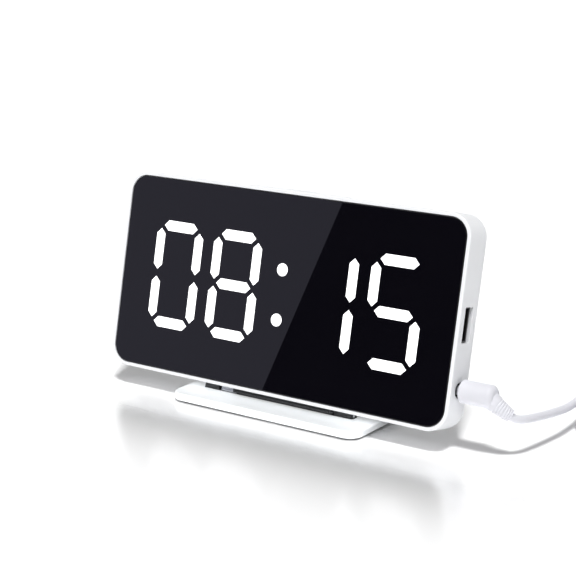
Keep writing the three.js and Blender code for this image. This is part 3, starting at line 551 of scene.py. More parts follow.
coil_turns = COIL_LAYERS * TURNS_PER_LAYER
coil_steps = round(coil_turns * POINTS_PER_TURN)
coil_line = [coil_point(coil_turns * i / coil_steps) for i in range(coil_steps + 1)]
cord_line = ROUTE + coil_line + TAIL
cord_length = sum(math.dist(a, b) for a, b in zip(cord_line, cord_line[1:]))
print(f"cord: {len(cord_line)} points, {cord_length:.0f} mm")

# %% [markdown]
# A Bezier curve with automatic handles runs smoothly through the points, and its round bevel gives it
# thickness. It stays a curve, so that its centreline can be measured.

# %% The cord
def cord_curve(name, line, diameter):
    curve = bpy.data.curves.new(name, "CURVE")
    curve.dimensions = "3D"
    curve.resolution_u = 6
    curve.bevel_depth = diameter / 2 * MM
    curve.bevel_resolution = 5
    curve.use_fill_caps = True
    spline = curve.splines.new("BEZIER")
    spline.bezier_points.add(len(line) - 1)
    for point, place_mm in zip(spline.bezier_points, line):
        point.co = Vector(place_mm) * MM
        point.handle_left_type = point.handle_right_type = "AUTO"
    curve.materials.append(LEAD)
    cord = bpy.data.objects.new(name, curve)
    bpy.context.scene.collection.objects.link(cord)
    return cord


cord = cord_curve("supply_cord", cord_line, CORD_DIAMETER)
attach(cord, "supply_lead")
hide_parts("power_cord", "cord_coil", "cord_tail")
print("cord made")

# %% [markdown]
# ## Geometry Nodes helpers
#
# What repeats is made by Geometry Nodes: one shape, and a rule for where its copies go. A tree starts
# with named inputs for its sizes. It ends in Realize Instances and Set Material, so that the copies
# become real faces with their finish.

# %% Building and running a tree
SOCKETS = {
    "number": "NodeSocketFloat",
    "count": "NodeSocketInt",
    "vector": "NodeSocketVector",
    "object": "NodeSocketObject",
    "material": "NodeSocketMaterial",
}


def start_tree(name, **inputs):
    """A new tree with a geometry input and the named inputs. Returns its page and its input wires."""
    tree = bpy.data.node_groups.new(name, "GeometryNodeTree")
    tree.interface.new_socket("Geometry", in_out="INPUT", socket_type="NodeSocketGeometry")
    for label, kind in inputs.items():
        tree.interface.new_socket(label, in_out="INPUT", socket_type=SOCKETS[kind])
    tree.interface.new_socket("Geometry", in_out="OUTPUT", socket_type="NodeSocketGeometry")
    page = Page(tree)
    source = page.node("NodeGroupInput")
    wires = {label: source.other(label) for label in inputs}
    wires["Geometry"] = source.other("Geometry")
    return page, wires


def end_tree(page, geometry, material):
    real = page.node("GeometryNodeRealizeInstances", inputs={"Geometry": geometry})
    merged = page.node("GeometryNodeMergeByDistance", inputs={"Geometry": real, "Distance": 0.001})
    painted = page.node("GeometryNodeSetMaterial", inputs={"Geometry": merged, "Material": material})
    page.node("NodeGroupOutput", inputs={0: painted})
    return page.tree


def run_tree(piece, tree, **values):
    """Runs the tree on the piece and keeps the result as its plain mesh."""
    names = {item.name: item.identifier for item in tree.interface.items_tree if item.in_out == "INPUT"}
    grow = piece.modifiers.new("grow", "NODES")
    grow.node_group = tree
    for label, value in values.items():
        grow[names[label]] = value
    return settle(piece)


def spots(name, points, **facts):
    """Loose points to grow copies on, each with facts such as how far its copy is turned."""
    mesh = bpy.data.meshes.new(name)
    mesh.from_pydata(points, [], [])
    for fact, numbers in facts.items():
        mesh.attributes.new(fact, "FLOAT", "POINT").data.foreach_set("value", numbers)
    piece = bpy.data.objects.new(name, mesh)
    bpy.context.scene.collection.objects.link(piece)
    return piece


print("geometry tree helpers ready")

# %% [markdown]
# ## The front housing
#
# The housing is a tray with a thin rim round the mirror. Its wall is one closed loop of rings: up the
# outside, over the rim, down to the ledge that the mirror lies on, through the display window, and back
# along the inside. The sockets, the snooze bar and the hinge neck pass through four holes.

# %% Housing
CASE_WIDTH, CASE_HEIGHT, CASE_CORNER = 160.2, 80.6, 8.8
MIDDLE = CASE_HEIGHT / 2
RIM, WALL = 1.4, 2.0
FRONT_EDGE, LEDGE, FRONT_WALL = 0.6, 1.5, 3.0
SPLIT, CASE_DEPTH = 11.38, 16.0
WINDOW = (130.1, 46.6)


def case_ring(inset, depth, steps=14):
    corner = max(CASE_CORNER - inset, 0.4)
    points = outline(CASE_WIDTH - 2 * inset, CASE_HEIGHT - 2 * inset, corner, 0, MIDDLE, steps)
    return across_case(points, depth)


window_front = across_case(outline(*WINDOW, 0.5, 0, MIDDLE, 14), LEDGE)
window_back = across_case(outline(*WINDOW, 0.5, 0, MIDDLE, 14), FRONT_WALL)
front_rounding = arc(FRONT_EDGE, 180, 270, FRONT_EDGE, FRONT_EDGE, 6)
rings = [case_ring(0, SPLIT)]
rings += [case_ring(inset, depth) for inset, depth in front_rounding]
rings += [case_ring(RIM - 0.12, 0), case_ring(RIM, 0.12), case_ring(RIM, LEDGE)]
rings += [window_front, window_back, case_ring(WALL, FRONT_WALL), case_ring(WALL, SPLIT)]
housing = skin("case_housing", rings, looped=True)

PORT_DEPTH, USB_UP, JACK_UP = 6.5, MIDDLE, 16.3
SIDE = CASE_WIDTH / 2


def side_hole(shape, flare):
    """A cutter for a hole in the right wall, with an edge that flares out by so much."""
    return [along_x(shape(0), SIDE - 4), along_x(shape(0), SIDE - flare), along_x(shape(flare + 1), SIDE + 1)]


def usb_outline(flare):
    return outline(5.9 + 2 * flare, 13.3 + 2 * flare, 0.5 + flare, PORT_DEPTH, USB_UP)


def jack_outline(flare):
    return circle(2.95 + flare, PORT_DEPTH, JACK_UP, 56)


usb_hole = skin("usb_hole", side_hole(usb_outline, 0.12))
jack_hole = skin("jack_hole", side_hole(jack_outline, 0.1))
snooze_plan = outline(46.6, 5.6, 2.8, 0, 7.2, 12)
snooze_hole = skin("snooze_hole", [level(snooze_plan, z) for z in (CASE_HEIGHT - 5, CASE_HEIGHT + 2)])
neck_plan = outline(47.3, 4.0, 0.5, 2.65, 8.4, 4)
neck_hole = skin("neck_hole", [level(neck_plan, z) for z in (-2, 4)])
carve(housing, [usb_hole, jack_hole, snooze_hole, neck_hole])
soften(housing, 0.1, 2, 50)
place(housing, CASE, WHITE, "case", "white_shell", ["front_housing"])

# %% [markdown]
# ## The mirror
#
# The mirror panel is a thin plate that lies flush in the rim. Its edge is ground at an angle, which
# draws the fine black line between glass and rim.

# %% Mirror panel
PANEL_WIDTH, PANEL_HEIGHT = CASE_WIDTH - 2 * PANEL_INSET, CASE_HEIGHT - 2 * PANEL_INSET
PANEL_CORNER = CASE_CORNER - PANEL_INSET


def panel_ring(inset, depth):
    points = outline(PANEL_WIDTH - 2 * inset, PANEL_HEIGHT - 2 * inset, PANEL_CORNER - inset, 0, MIDDLE, 14)
    return across_case(points, depth)


panel_edge = ((0.22, 0), (0, 0.22), (0, 1.0), (0.15, 1.2))
panel = skin("mirror_glass", [panel_ring(inset, depth) for inset, depth in panel_edge])
soften(panel, 0)
place(panel, CASE, MIRROR, "case", "mirror_panel", ["mirror_panel"])

# %% [markdown]
# ## The lit digits
#
# A seven-segment digit is seven copies of one bar with pointed ends. The bar is grown from a circle of
# six points: the two points on the x axis become the tips, and the other four become the shoulders.
# Python only says where each lit bar lies and whether it stands upright; the copying is left to
# Geometry Nodes.

# %% The segment tree
def segment_tree():
    sizes = {"Length": "number", "Width": "number", "Thickness": "number"}
    page, wire = start_tree("lit_segments", **sizes, Finish="material")
    ring = page.node("GeometryNodeMeshCircle", {"fill_type": "NGON"}, {"Vertices": 6, "Radius": 1.0})
    x, y, _ = page.split(page.node("GeometryNodeInputPosition"))
    shoulder = (y.size() / math.sin(math.radians(60))).least(1.0)
    along = x.sign() * (wire["Length"] / 2 - shoulder * wire["Width"] / 2)
    across = y.sign() * shoulder * wire["Width"] / 2
    shaped = page.node(
        "GeometryNodeSetPosition", inputs={"Geometry": ring, "Position": page.join(along, across, 0.0)}
    )
    lift = {"Offset": page.join(0.0, 0.0, 1.0), "Offset Scale": wire["Thickness"]}
    raised = page.node("GeometryNodeExtrudeMesh", inputs={"Mesh": shaped, **lift, "Individual": False})
    base = page.node("GeometryNodeFlipFaces", inputs={"Mesh": shaped})
    bar = page.node("GeometryNodeJoinGeometry", inputs={0: [raised, base]})
    turned_by = page.node("GeometryNodeInputNamedAttribute", {"data_type": "FLOAT"}, {"Name": "turn"})
    spin = page.join(0.0, 0.0, turned_by)
    copies = page.node(
        "GeometryNodeInstanceOnPoints", inputs={"Points": wire["Geometry"], "Instance": bar, "Rotation": spin}
    )
    return end_tree(page, copies, wire["Finish"])


DIGIT_CENTRES = (-51.15, -21.95, 23.05, 52.25)
HALF_ACROSS, HALF_UP = 9.73, 19.68
BARS = {
    "a": (0, HALF_UP, 0),
    "b": (HALF_ACROSS, HALF_UP / 2, 1),
    "c": (HALF_ACROSS, -HALF_UP / 2, 1),
    "d": (0, -HALF_UP, 0),
    "e": (-HALF_ACROSS, -HALF_UP / 2, 1),
    "f": (-HALF_ACROSS, HALF_UP / 2, 1),
    "g": (0, 0, 0),
}
LIT = ("abcdef", "abcdefg", "bc", "afgcd")
lit_bars = []
for centre, word in zip(DIGIT_CENTRES, LIT):
    for across, up, turns in (BARS[letter] for letter in word):
        lit_bars.append((centre + across, up, turns))
quarter_turns = [math.pi / 2 * turns for *_, turns in lit_bars]
digits = spots("lit_digits", [(x, up, 0) for x, up, _ in lit_bars], turn=quarter_turns)
run_tree(digits, segment_tree(), Length=16.8, Width=4.2, Thickness=0.2, Finish=LIGHT)

# %% [markdown]
# The bars were laid out flat, so they are stood up against the glass, with their faces a hair in front
# of it. The colon is two turned studs with a softened edge.

# %% Stand the digits up and add the colon
STAND = Matrix.Translation((0, 0.17, MIDDLE)) @ Matrix.Rotation(math.pi / 2, 4, "X")
digits.data.transform(STAND)
place(digits, CASE, None, "case", "milky_film")

COLON_RADIUS, COLON_HALF = 2.5, 9.85
dots = []
for side in (-1, 1):
    dot = turned("colon_dot", [(0, 0), (COLON_RADIUS, 0), (COLON_RADIUS, 0.2), (0, 0.2)], 40)
    dot.data.transform(STAND @ Matrix.Translation((0.55, side * COLON_HALF - 0.43, 0)))
    dots.append(dot)
place(joined("lit_colon", dots), CASE, LIGHT, "case", "milky_film")

# %% [markdown]
# ## The back cover
#
# The cover closes the case from behind, with a large rounding towards its back face. It is a cup: rings
# run from the middle of its inside, out to the rim, and over the rounding to the back face. Keys,
# slider, screws, battery cap and sounder each get their opening.

# %% Cover
COVER_FRONT, REAR_EDGE = 11.46, 4.5
inner = arc(REAR_EDGE - WALL, 180, 90, REAR_EDGE, CASE_DEPTH - REAR_EDGE, 8)
outer = arc(REAR_EDGE, 180, 90, REAR_EDGE, CASE_DEPTH - REAR_EDGE, 12)
rings = [case_ring(inset, depth) for inset, depth in reversed(inner)]
rings += [case_ring(WALL, COVER_FRONT), case_ring(0, COVER_FRONT)]
rings += [case_ring(inset, depth) for inset, depth in outer]
cover = skin("case_back", rings)

KEY_X = (-28, -14, 0, 14, 28)
KEY_UP = 62
CELL = (-44, 25)
SOUNDER = (-8, 25)
BOSS_X, BOSS_LOW = SIDE - 7.8, 7.8
SCREWS = [(side * BOSS_X, up) for side in (-1, 1) for up in (BOSS_LOW, CASE_HEIGHT - BOSS_LOW)]


def rear_hole(points, start, end=CASE_DEPTH + 2):
    return skin("hole", [across_case(points, start), across_case(points, end)])


holes = [rear_hole(circle(3.8, x, KEY_UP), 12) for x in KEY_X]
holes += [rear_hole(circle(1.3, x, up, 24), 12) for x, up in SCREWS]
holes += [rear_hole(circle(2.4, x, up, 36), CASE_DEPTH - 1.4) for x, up in SCREWS]
holes += [rear_hole(outline(9.0, 3.2, 0.5, 46, KEY_UP, 6), 12)]
holes += [rear_hole(circle(11.5, *CELL, 72), 12), rear_hole(circle(13.5, *CELL, 80), CASE_DEPTH - 1.1)]
holes += [rear_hole(outline(52, 20, 1.5, 36, 25, 6), CASE_DEPTH - 0.35)]
carve(cover, holes)

# %% [markdown]
# The sounder's grille is five slots in a row. This tree cuts them: a rounded slot is filled, given
# depth, copied along a line and taken out of the cover by a Mesh Boolean, with the number, pitch and
# size of the slots as inputs.

# %% Grille slots
def grille_tree():
    inputs = {"Count": "count", "Pitch": "number", "Length": "number", "Width": "number", "Centre": "vector"}
    page, wire = start_tree("grille_slots", **inputs, Finish="material")
    line = page.node(
        "GeometryNodeMeshLine",
        inputs={"Count": wire["Count"], "Offset": page.join(0.0, 0.0, wire["Pitch"])},
    )
    slot_outline = page.node(
        "GeometryNodeCurvePrimitiveQuadrilateral", inputs={"Width": wire["Length"], "Height": wire["Width"]}
    )
    fillet = {"Curve": slot_outline, "Radius": wire["Width"] * 0.499, "Count": 8}
    rounded = page.node("GeometryNodeFilletCurve", {"mode": "POLY"}, fillet)
    filled = page.node("GeometryNodeFillCurve", inputs={"Curve": rounded})
    raised = page.node(
        "GeometryNodeExtrudeMesh",
        inputs={"Mesh": filled, "Offset": page.join(0.0, 0.0, 1.0), "Offset Scale": 6.0, "Individual": False},
    )
    base = page.node("GeometryNodeFlipFaces", inputs={"Mesh": filled})
    both = page.node("GeometryNodeJoinGeometry", inputs={0: [raised, base]})
    closed = page.node("GeometryNodeMergeByDistance", inputs={"Geometry": both})
    upright = page.node(
        "GeometryNodeTransform", inputs={"Geometry": closed, "Rotation": (-math.pi / 2, 0, 0)}
    )
    copies = page.node("GeometryNodeInstanceOnPoints", inputs={"Points": line, "Instance": upright})
    moved = page.node("GeometryNodeTransform", inputs={"Geometry": copies, "Translation": wire["Centre"]})
    cutters = page.node("GeometryNodeRealizeInstances", inputs={"Geometry": moved})
    difference = {"operation": "DIFFERENCE", "solver": "EXACT"}
    meshes = {"Mesh 1": wire["Geometry"], "Mesh 2": [cutters]}
    cut = page.node("GeometryNodeMeshBoolean", difference, meshes)
    return end_tree(page, cut, wire["Finish"])


# %% Cut the grille and finish the cover
run_tree(
    cover,
    grille_tree(),
    Count=5,
    Pitch=2.8,
    Length=12.0,
    Width=1.4,
    Centre=(SOUNDER[0], 12.0, SOUNDER[1] - 2 * 2.8),
    Finish=WHITE,
)
soften(cover, 0.12, 2, 50)
place(cover, CASE, WHITE, "case", "white_shell", ["back_cover"])

# %% [markdown]
# ## Screws
#
# Four pan-head screws hold the cover. One head is turned and cut with a cross, and Geometry Nodes sets
# a copy on each boss. A fixed seed turns every cross by its own angle, because real screws never line
# up.

# %% One screw, four places
BACKWARD = Matrix.Rotation(-math.pi / 2, 4, "X")


def screw_head(radius, height, cross):
    profile = [(0, 0), (radius, 0), (radius, height * 0.35)]
    profile += [(radius * math.cos(a), height * (0.35 + 0.65 * math.sin(a))) for a in (0.35, 0.7, 1.05)]
    head = turned("screw_head", profile + [(0, height)], 36)
    blades = []
    for width, length in ((cross, radius * 1.2), (radius * 1.2, cross)):
        plan = outline(width, length, 0.1, 0, 0, 3)
        blades.append(skin("blade", [level(plan, height * 0.45), level(plan, height + 1)]))
    return soften(carve(head, blades), 0.03, 1, 50)


RANDOM_SOCKETS = {"Min": 2, "Max": 3, "Seed": 8}


def copies_tree(name, turn_from_seed=False):
    """Puts a copy of an object on every point, turned by chance or by the point's own fact."""
    page, wire = start_tree(name, Shape="object", Seed="count", Finish="material")
    shape = page.node("GeometryNodeObjectInfo", inputs={"Object": wire["Shape"]}, output="Geometry")
    if turn_from_seed:
        chance = {"Min": 0.0, "Max": math.pi, "Seed": wire["Seed"]}
        random = page.node("FunctionNodeRandomValue", {"data_type": "FLOAT"})
        for key, index in RANDOM_SOCKETS.items():
            page.feed(random.socket.node.inputs[index], chance[key])
        angle = random.other(1)
    else:
        angle = page.node("GeometryNodeInputNamedAttribute", {"data_type": "FLOAT"}, {"Name": "turn"})
    inputs = {"Points": wire["Geometry"], "Instance": shape, "Rotation": page.join(0.0, 0.0, angle)}
    copies = page.node("GeometryNodeInstanceOnPoints", inputs=inputs)
    return end_tree(page, copies, wire["Finish"])


scatter = copies_tree("scattered_copies", turn_from_seed=True)
head = screw_head(2.05, 1.05, 0.5)
screws = spots("cover_screws", [(x, -up, 0) for x, up in SCREWS])
run_tree(screws, scatter, Shape=head, Seed=7, Finish=STEEL)
bpy.data.objects.remove(head)
INTO_BACK = Matrix.Translation((0, CASE_DEPTH - 1.15, 0)) @ BACKWARD
screw_nodes = [f"case_screw_{i}" for i in (1, 2, 3, 4)]
place(screws, CASE @ INTO_BACK, STEEL, "case", "steel", screw_nodes)

# %% [markdown]
# ## Keys on the back
#
# Each key is a turned cap with a shallow dish for the fingertip, and a raised mark that a thumb can
# feel in the dark: a ring, a bar, arrows down and up, and a pair of dots.

# %% Keys
FLANGE_FRONT, FLANGE_BACK, KEY_TOP = 13.2, 13.7, 16.8


def polygon(sides, radius, spin):
    angles = [spin + 2 * math.pi * i / sides for i in range(sides)]
    return [(radius * math.cos(angle), radius * math.sin(angle)) for angle in angles]


def mark(points, z, height=0.22):
    return soften(skin("mark", [level(points, z - 0.35), level(points, z + height)]), 0.05, 1, 40)


def ring_mark(z):
    return turned("mark", [(0.85, z - 0.3), (1.25, z - 0.3), (1.25, z + 0.2), (0.85, z + 0.2)], 32)


def key_marks(kind, z):
    if kind == "mode":
        return [ring_mark(z)]
    if kind == "set":
        return [mark(outline(2.6, 0.7, 0.3, 0, 0, 4), z)]
    if kind == "down":
        return [mark(polygon(3, 1.35, math.pi / 2), z)]
    if kind == "up":
        return [mark(polygon(3, 1.35, -math.pi / 2), z)]
    return [mark(circle(0.45, side * 0.95, 0, 20), z) for side in (-1, 1)]


def rear_key(kind, x):
    top = KEY_TOP - FLANGE_FRONT
    flange = FLANGE_BACK - FLANGE_FRONT
    dish = [(r, top - 0.35 + 0.32 * (r / 3.0) ** 2) for r in (0, 0.8, 1.6, 2.3, 2.8)]
    edge = [(3.05, top - 0.02), (3.3, top - 0.1), (3.45, top - 0.28), (3.5, top - 0.5)]
    profile = [(0, 0), (4.6, 0), (4.6, flange), (3.5, flange)] + edge[::-1] + dish[::-1]
    cap = soften(turned("cap", profile, 56), 0.06, 1, 50)
    key = joined(f"{kind}_button", [cap, *key_marks(kind, top - 0.33)])
    where = CASE @ Matrix.Translation((x, FLANGE_FRONT, KEY_UP)) @ BACKWARD
    place(key, where, KEY, f"{kind}_key", "key_grey", [f"{kind}_key"])


for kind, x in zip(("mode", "set", "down", "up", "alarm"), KEY_X):
    rear_key(kind, x)

# %% [markdown]
# ## Alarm slider and battery cap
#
# The slider is a small knob with grip ridges. The battery cap turns with a coin: it has a slot, a
# raised arrow on its face and a chamfered rim.

# %% Slider
knob_plan = outline(4.4, 2.6, 0.5, 0, 0, 6)
base_plan = outline(10.4, 5.0, 0.5, 0, 0, 4)
base = soften(skin("base", [level(base_plan, 0), level(base_plan, 0.5)]), 0.06, 1)
knob = skin("knob", [level(knob_plan, 0.3), level(knob_plan, 3.3)])
grooves = []
for step in (-1, 0, 1):
    plan = outline(0.45, 4, 0.05, step * 1.1, 0, 2)
    grooves.append(skin("groove", [level(plan, 2.95), level(plan, 4)]))
slider = joined("alarm_slider_knob", [base, soften(carve(knob, grooves), 0.06, 2, 50)])
where = CASE @ Matrix.Translation((44, FLANGE_FRONT, KEY_UP)) @ BACKWARD
place(slider, where, DARK, "alarm_slider", "dark_grey", ["alarm_slider"])

# %% Battery cap
cap_profile = [(0, 0), (11.2, 0), (11.2, 1.45), (13.05, 1.45)]
cap_profile += [(13.2, 1.6), (13.2, 1.95), (12.95, 2.2), (0, 2.2)]
cap = turned("battery_cover", cap_profile, 96)
coin_plan = outline(14, 2, 1, 0, 0, 8)
slot_cut = skin("coin_slot", [level(coin_plan, 1.6), level(coin_plan, 4)])
carve(cap, [slot_cut])
soften(cap, 0.08, 2, 50)
arrow = mark(polygon(3, 1.2, math.pi / 2), 2.2, 0.15)
arrow.data.transform(Matrix.Translation((0, 9.6, 0)))
lines = [cap, arrow]
for turn_by in range(-30, 31, 12):
    tick = mark(outline(0.35, 1.6, 0.1, 0, 0, 2), 2.2, 0.12)
    spot = Matrix.Rotation(math.radians(turn_by), 4, "Z") @ Matrix.Translation((0, -9.6, 0))
    tick.data.transform(spot)
    lines.append(tick)
cap = joined("battery_cover_cap", lines)
where = CASE @ Matrix.Translation((CELL[0], CASE_DEPTH - 2.2, CELL[1])) @ BACKWARD
place(cap, where, WHITE, "battery_cap", "white_shell", ["battery_cap"])

# %% [markdown]
# ## Snooze bar
#
# The snooze bar is a long pill in the top of the case. Its top is slightly crowned, and a row of fine
# ribs near the middle tells the finger where it is.

# %% Snooze bar
def bar_ring(inset, z):
    return level(outline(46 - 2 * inset, 5 - 2 * inset, 2.5 - inset, 0, 7.2, 12), z)


BAR_TOP = CASE_HEIGHT + 0.3
rounding = [(0.0, 0.62), (0.05, 0.35), (0.16, 0.16), (0.35, 0.05), (0.6, 0.0)]
crown = [(1.1, -0.03), (1.8, -0.04)]
bar = skin("bar", [bar_ring(0, 77.9)] + [bar_ring(inset, BAR_TOP - drop) for inset, drop in rounding + crown])
soften(bar, 0)
flange_plan = outline(50, 7.4, 1, 0, 7.2, 4)
flange = soften(skin("flange", [level(flange_plan, 77.4), level(flange_plan, 78.3)]), 0.08, 1)
rib_plan = outline(0.5, 2.6, 0.2, 0, 0, 3)
rib = soften(skin("rib", [level(rib_plan, -0.2), level(rib_plan, 0.16)]), 0.05, 1)
ribs = spots("snooze_ribs", [(step * 1.3, 7.2, BAR_TOP) for step in range(-5, 6)], turn=[0.0] * 11)
aligned = copies_tree("aligned_copies")
run_tree(ribs, aligned, Shape=rib, Finish=WHITE)
bpy.data.objects.remove(rib)
place(joined("snooze_button", [bar, flange, ribs]), CASE, WHITE, "snooze_bar", "white_shell", ["snooze_bar"])

# %% [markdown]
# ## USB socket
#
# The socket is a folded nickel shell with a black tongue inside. The tongue carries four flat contacts,
# and two sprung fingers are stamped into one wide side of the shell.

# %% USB socket
USB_BACK, USB_MOUTH = 65.3, 78.7


def usb_ring(grow, x, y=PORT_DEPTH):
    return along_x(outline(5.3 + 2 * grow, 12.7 + 2 * grow, 0.5 + grow, y, USB_UP, 5), x)


lips = [usb_ring(0, USB_BACK), usb_ring(0, USB_MOUTH - 0.3), usb_ring(0.12, USB_MOUTH)]
lips += [usb_ring(-0.2, USB_MOUTH), usb_ring(-0.3, USB_MOUTH - 0.15), usb_ring(-0.3, USB_BACK + 1.0)]
shell = skin("usb_shell", lips)
fingers = []
for up in (-3.2, 3.2):
    plan = outline(6.0, 2.0, 0.3, 0, 0, 3)
    finger = skin("finger", [level(plan, 0), level(plan, 0.2)])
    where = Matrix.Translation((74.2, PORT_DEPTH + 2.2, USB_UP + up))
    finger.data.transform(where @ Matrix.Rotation(math.pi / 2, 4, "X"))
    fingers.append(soften(finger, 0.05, 1))
socket = joined("usb_socket_case", [soften(shell, 0), *fingers])
# The shell's darkened nickel is painted shade for the inside of the opening.
place(socket, CASE, NICKEL_PAINTED_SHADE, "case", "steel", ["usb_socket_shell"])

tongue_plan = outline(1.8, 10.7, 0.3, PORT_DEPTH - 0.9, USB_UP, 4)
tongue = skin("usb_tongue", [along_x(tongue_plan, 66.6), along_x(tongue_plan, 77.4)])
place(soften(tongue, 0.15, 2), CASE, BLACK, "case", "black_plastic", ["usb_socket_tongue"])

contact_plan = outline(7.5, 1.1, 0.15, 0, 0, 3)
contact = soften(skin("contact", [level(contact_plan, 0), level(contact_plan, 0.16)]), 0.04, 1)
rows = [(up, 0, 0) for up in (-3.5, -1.2, 1.2, 3.5)]
contacts = spots("usb_contacts", [(0, x, z) for x, _, z in rows], turn=[0.0] * 4)
run_tree(contacts, aligned, Shape=contact, Finish=GOLD)
bpy.data.objects.remove(contact)
where = CASE @ Matrix.Translation((73.4, PORT_DEPTH + 0.15, USB_UP)) @ Matrix.Rotation(-math.pi / 2, 4, "X")
place(contacts, where, GOLD, "case", "steel")

# %% [markdown]
# ## Power inlet
#
# The inlet is a black block behind the wall, with a round nose in the hole and a thin pin in its bore.
# The plug hides most of it until it is pulled out.

# %% Inlet block and pin
JACK_END = 77.8


def jack_skin(name, profile, steps):
    """A round form along the inlet's axis, from a profile of (radius, x)."""
    return skin(name, [along_x(circle(r, PORT_DEPTH, JACK_UP, steps), x) for r, x in profile])


block_plan = outline(5.9, 8.6, 0.5, PORT_DEPTH, JACK_UP, 4)
inlet_block = skin("jack_block", [along_x(block_plan, 65.8), along_x(block_plan, JACK_END)])
nose = jack_skin("jack_nose", ((2.75, 76), (2.75, 78.8), (2.6, 79.0)), 48)
bore = jack_skin("jack_bore", ((2.05, 66.8), (2.05, 77.9)), 40)
mouth = jack_skin("jack_mouth", ((2.05, 75.5), (2.05, 78.7), (2.5, 79.2)), 40)
carve(nose, [mouth])
carve(inlet_block, [bore])
inlet = joined("dc_inlet", [soften(inlet_block, 0.1, 1), soften(nose, 0.06, 1)])
place(inlet, CASE, BLACK, "case", "black_plastic", ["dc_jack_body"])
pin_profile = [(0, 0), (0.65, 0), (0.65, 9.4), (0.5, 9.75), (0.2, 9.9), (0, 9.9)]
pin = soften(turned("dc_pin", pin_profile, 28), 0)
SIDEWAYS = Matrix.Rotation(math.pi / 2, 4, "Y")
where = CASE @ Matrix.Translation((67.1, PORT_DEPTH, JACK_UP)) @ SIDEWAYS
place(pin, where, STEEL, "case", "steel", ["dc_jack_pin"])

# %% [markdown]
# ## The plug in the side
#
# The plug's body is a plain round moulding with a rounded end. A tapered strain relief bends out of it,
# ringed with ribs so that the cord can't kink. Geometry Nodes grows it along a bending line: the
# sleeve's radius falls from one end to the other, and a wave in the radius makes the ribs.

# %% Plug body and barrel
plug_low, plug_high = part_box("dc_plug_body")
plug_y = (plug_low.y + plug_high.y) / 2 / MM
plug_z = (plug_low.z + plug_high.z) / 2 / MM
PLUG_START, PLUG_LENGTH, PLUG_RADIUS, PLUG_ROUNDING = 81.8, 13.4, 4.4, 2.2
PLUG = UPRIGHT @ Matrix.Translation((PLUG_START, plug_y, plug_z)) @ SIDEWAYS

body_profile = [(0, 0), (PLUG_RADIUS - 0.45, 0)] + arc(0.45, -90, 0, PLUG_RADIUS - 0.45, 0.45, 5)
shoulder = PLUG_LENGTH - PLUG_ROUNDING
body_profile += arc(PLUG_ROUNDING, 0, 90, PLUG_RADIUS - PLUG_ROUNDING, shoulder, 12) + [(0, PLUG_LENGTH)]
plug_body = soften(turned("dc_plug", body_profile, 72), 0)
place(plug_body, PLUG, LEAD, "supply_lead", "white_lead", ["dc_plug_body"])

barrel_profile = [(0.95, -9.0), (1.15, -9.8), (1.45, -9.8), (1.75, -9.4)]
barrel_profile += [(1.75, -0.9), (3.0, -0.9), (3.0, -0.3), (0.95, -0.3)]
barrel = soften(turned("dc_barrel", barrel_profile, 40), 0.05, 1, 50)
place(barrel, PLUG, STEEL, "supply_lead", "steel", ["dc_plug_barrel"])

# %% Strain relief
RELIEF_LINE = [(91.0, -10.0, 22.75), (93.2, -9.9, 21.9), (96.9, -9.1, 19.3), (100.0, -7.5, 16.7)]
RELIEF_START_RADIUS, RELIEF_END_RADIUS = 3.85, 2.5


def relief_curve():
    curve = bpy.data.curves.new("relief_line", "CURVE")
    curve.dimensions = "3D"
    curve.resolution_u = 16
    spline = curve.splines.new("BEZIER")
    spline.bezier_points.add(len(RELIEF_LINE) - 1)
    for point, at in zip(spline.bezier_points, RELIEF_LINE):
        point.co = at
        point.handle_left_type = point.handle_right_type = "AUTO"
    line = bpy.data.objects.new("relief_line", curve)
    bpy.context.scene.collection.objects.link(line)
    return line


def relief_tree():
    """A tapered sleeve round a line, with ribs that shrink along it."""
    sizes = {key: "number" for key in ("First", "Last", "Groove", "Smooth")}
    page, wire = start_tree("ribbed_relief", Ribs="count", **sizes, Finish="material")
    steps = page.node("GeometryNodeResampleCurve", inputs={"Curve": wire["Geometry"], "Count": 120})
    share = page.node("GeometryNodeSplineParameter", output="Factor")
    outside = wire["First"] + (wire["Last"] - wire["First"]) * share
    ribbed = ((share - wire["Smooth"]) / (1 - wire["Smooth"])).most(0.0)
    beat = (ribbed * wire["Ribs"] * (2 * math.pi) + math.pi / 2).wave()
    rib = ((beat * 1.5 + 0.4).most(-1.0).least(1.0) + 1) * 0.5
    radius = outside - wire["Groove"] * (1 - rib)
    measured = page.node("GeometryNodeSetCurveRadius", inputs={"Curve": steps, "Radius": radius})
    round_section = {"Resolution": 40, "Radius": 1.0}
    ring = page.node("GeometryNodeCurvePrimitiveCircle", {"mode": "RADIUS"}, round_section)
    inputs = {"Curve": measured, "Profile Curve": ring, "Scale": radius, "Fill Caps": True}
    sleeve_node = page.node("GeometryNodeCurveToMesh", inputs=inputs)
    smooth = page.node("GeometryNodeSetShadeSmooth", inputs={"Geometry": sleeve_node})
    return end_tree(page, smooth, wire["Finish"])


RELIEF_SIZES = {"Ribs": 7, "Groove": 0.24, "Smooth": 0.42}
RELIEF_SIZES.update({"First": RELIEF_START_RADIUS, "Last": RELIEF_END_RADIUS})
relief_line = relief_curve()
grower = relief_line.modifiers.new("grow", "NODES")
grower.node_group = relief_tree()
for item in grower.node_group.interface.items_tree:
    if item.in_out == "INPUT" and item.name in RELIEF_SIZES:
        grower[item.identifier] = RELIEF_SIZES[item.name]
    elif item.name == "Finish":
        grower[item.identifier] = LEAD
graph = bpy.context.evaluated_depsgraph_get()
relief_mesh = bpy.data.meshes.new_from_object(relief_line.evaluated_get(graph), depsgraph=graph)
relief = bpy.data.objects.new("cord_relief", relief_mesh)
bpy.context.scene.collection.objects.link(relief)
bpy.data.objects.remove(relief_line)
place(relief, UPRIGHT, LEAD, "supply_lead", "white_lead", ["strain_relief"])

# %% [markdown]
# ## The USB plug at the far end
#
# The far end is an ordinary USB plug: a moulded grip with ribs for the fingers, a short tapered neck,
# and a steel shell with two square windows.

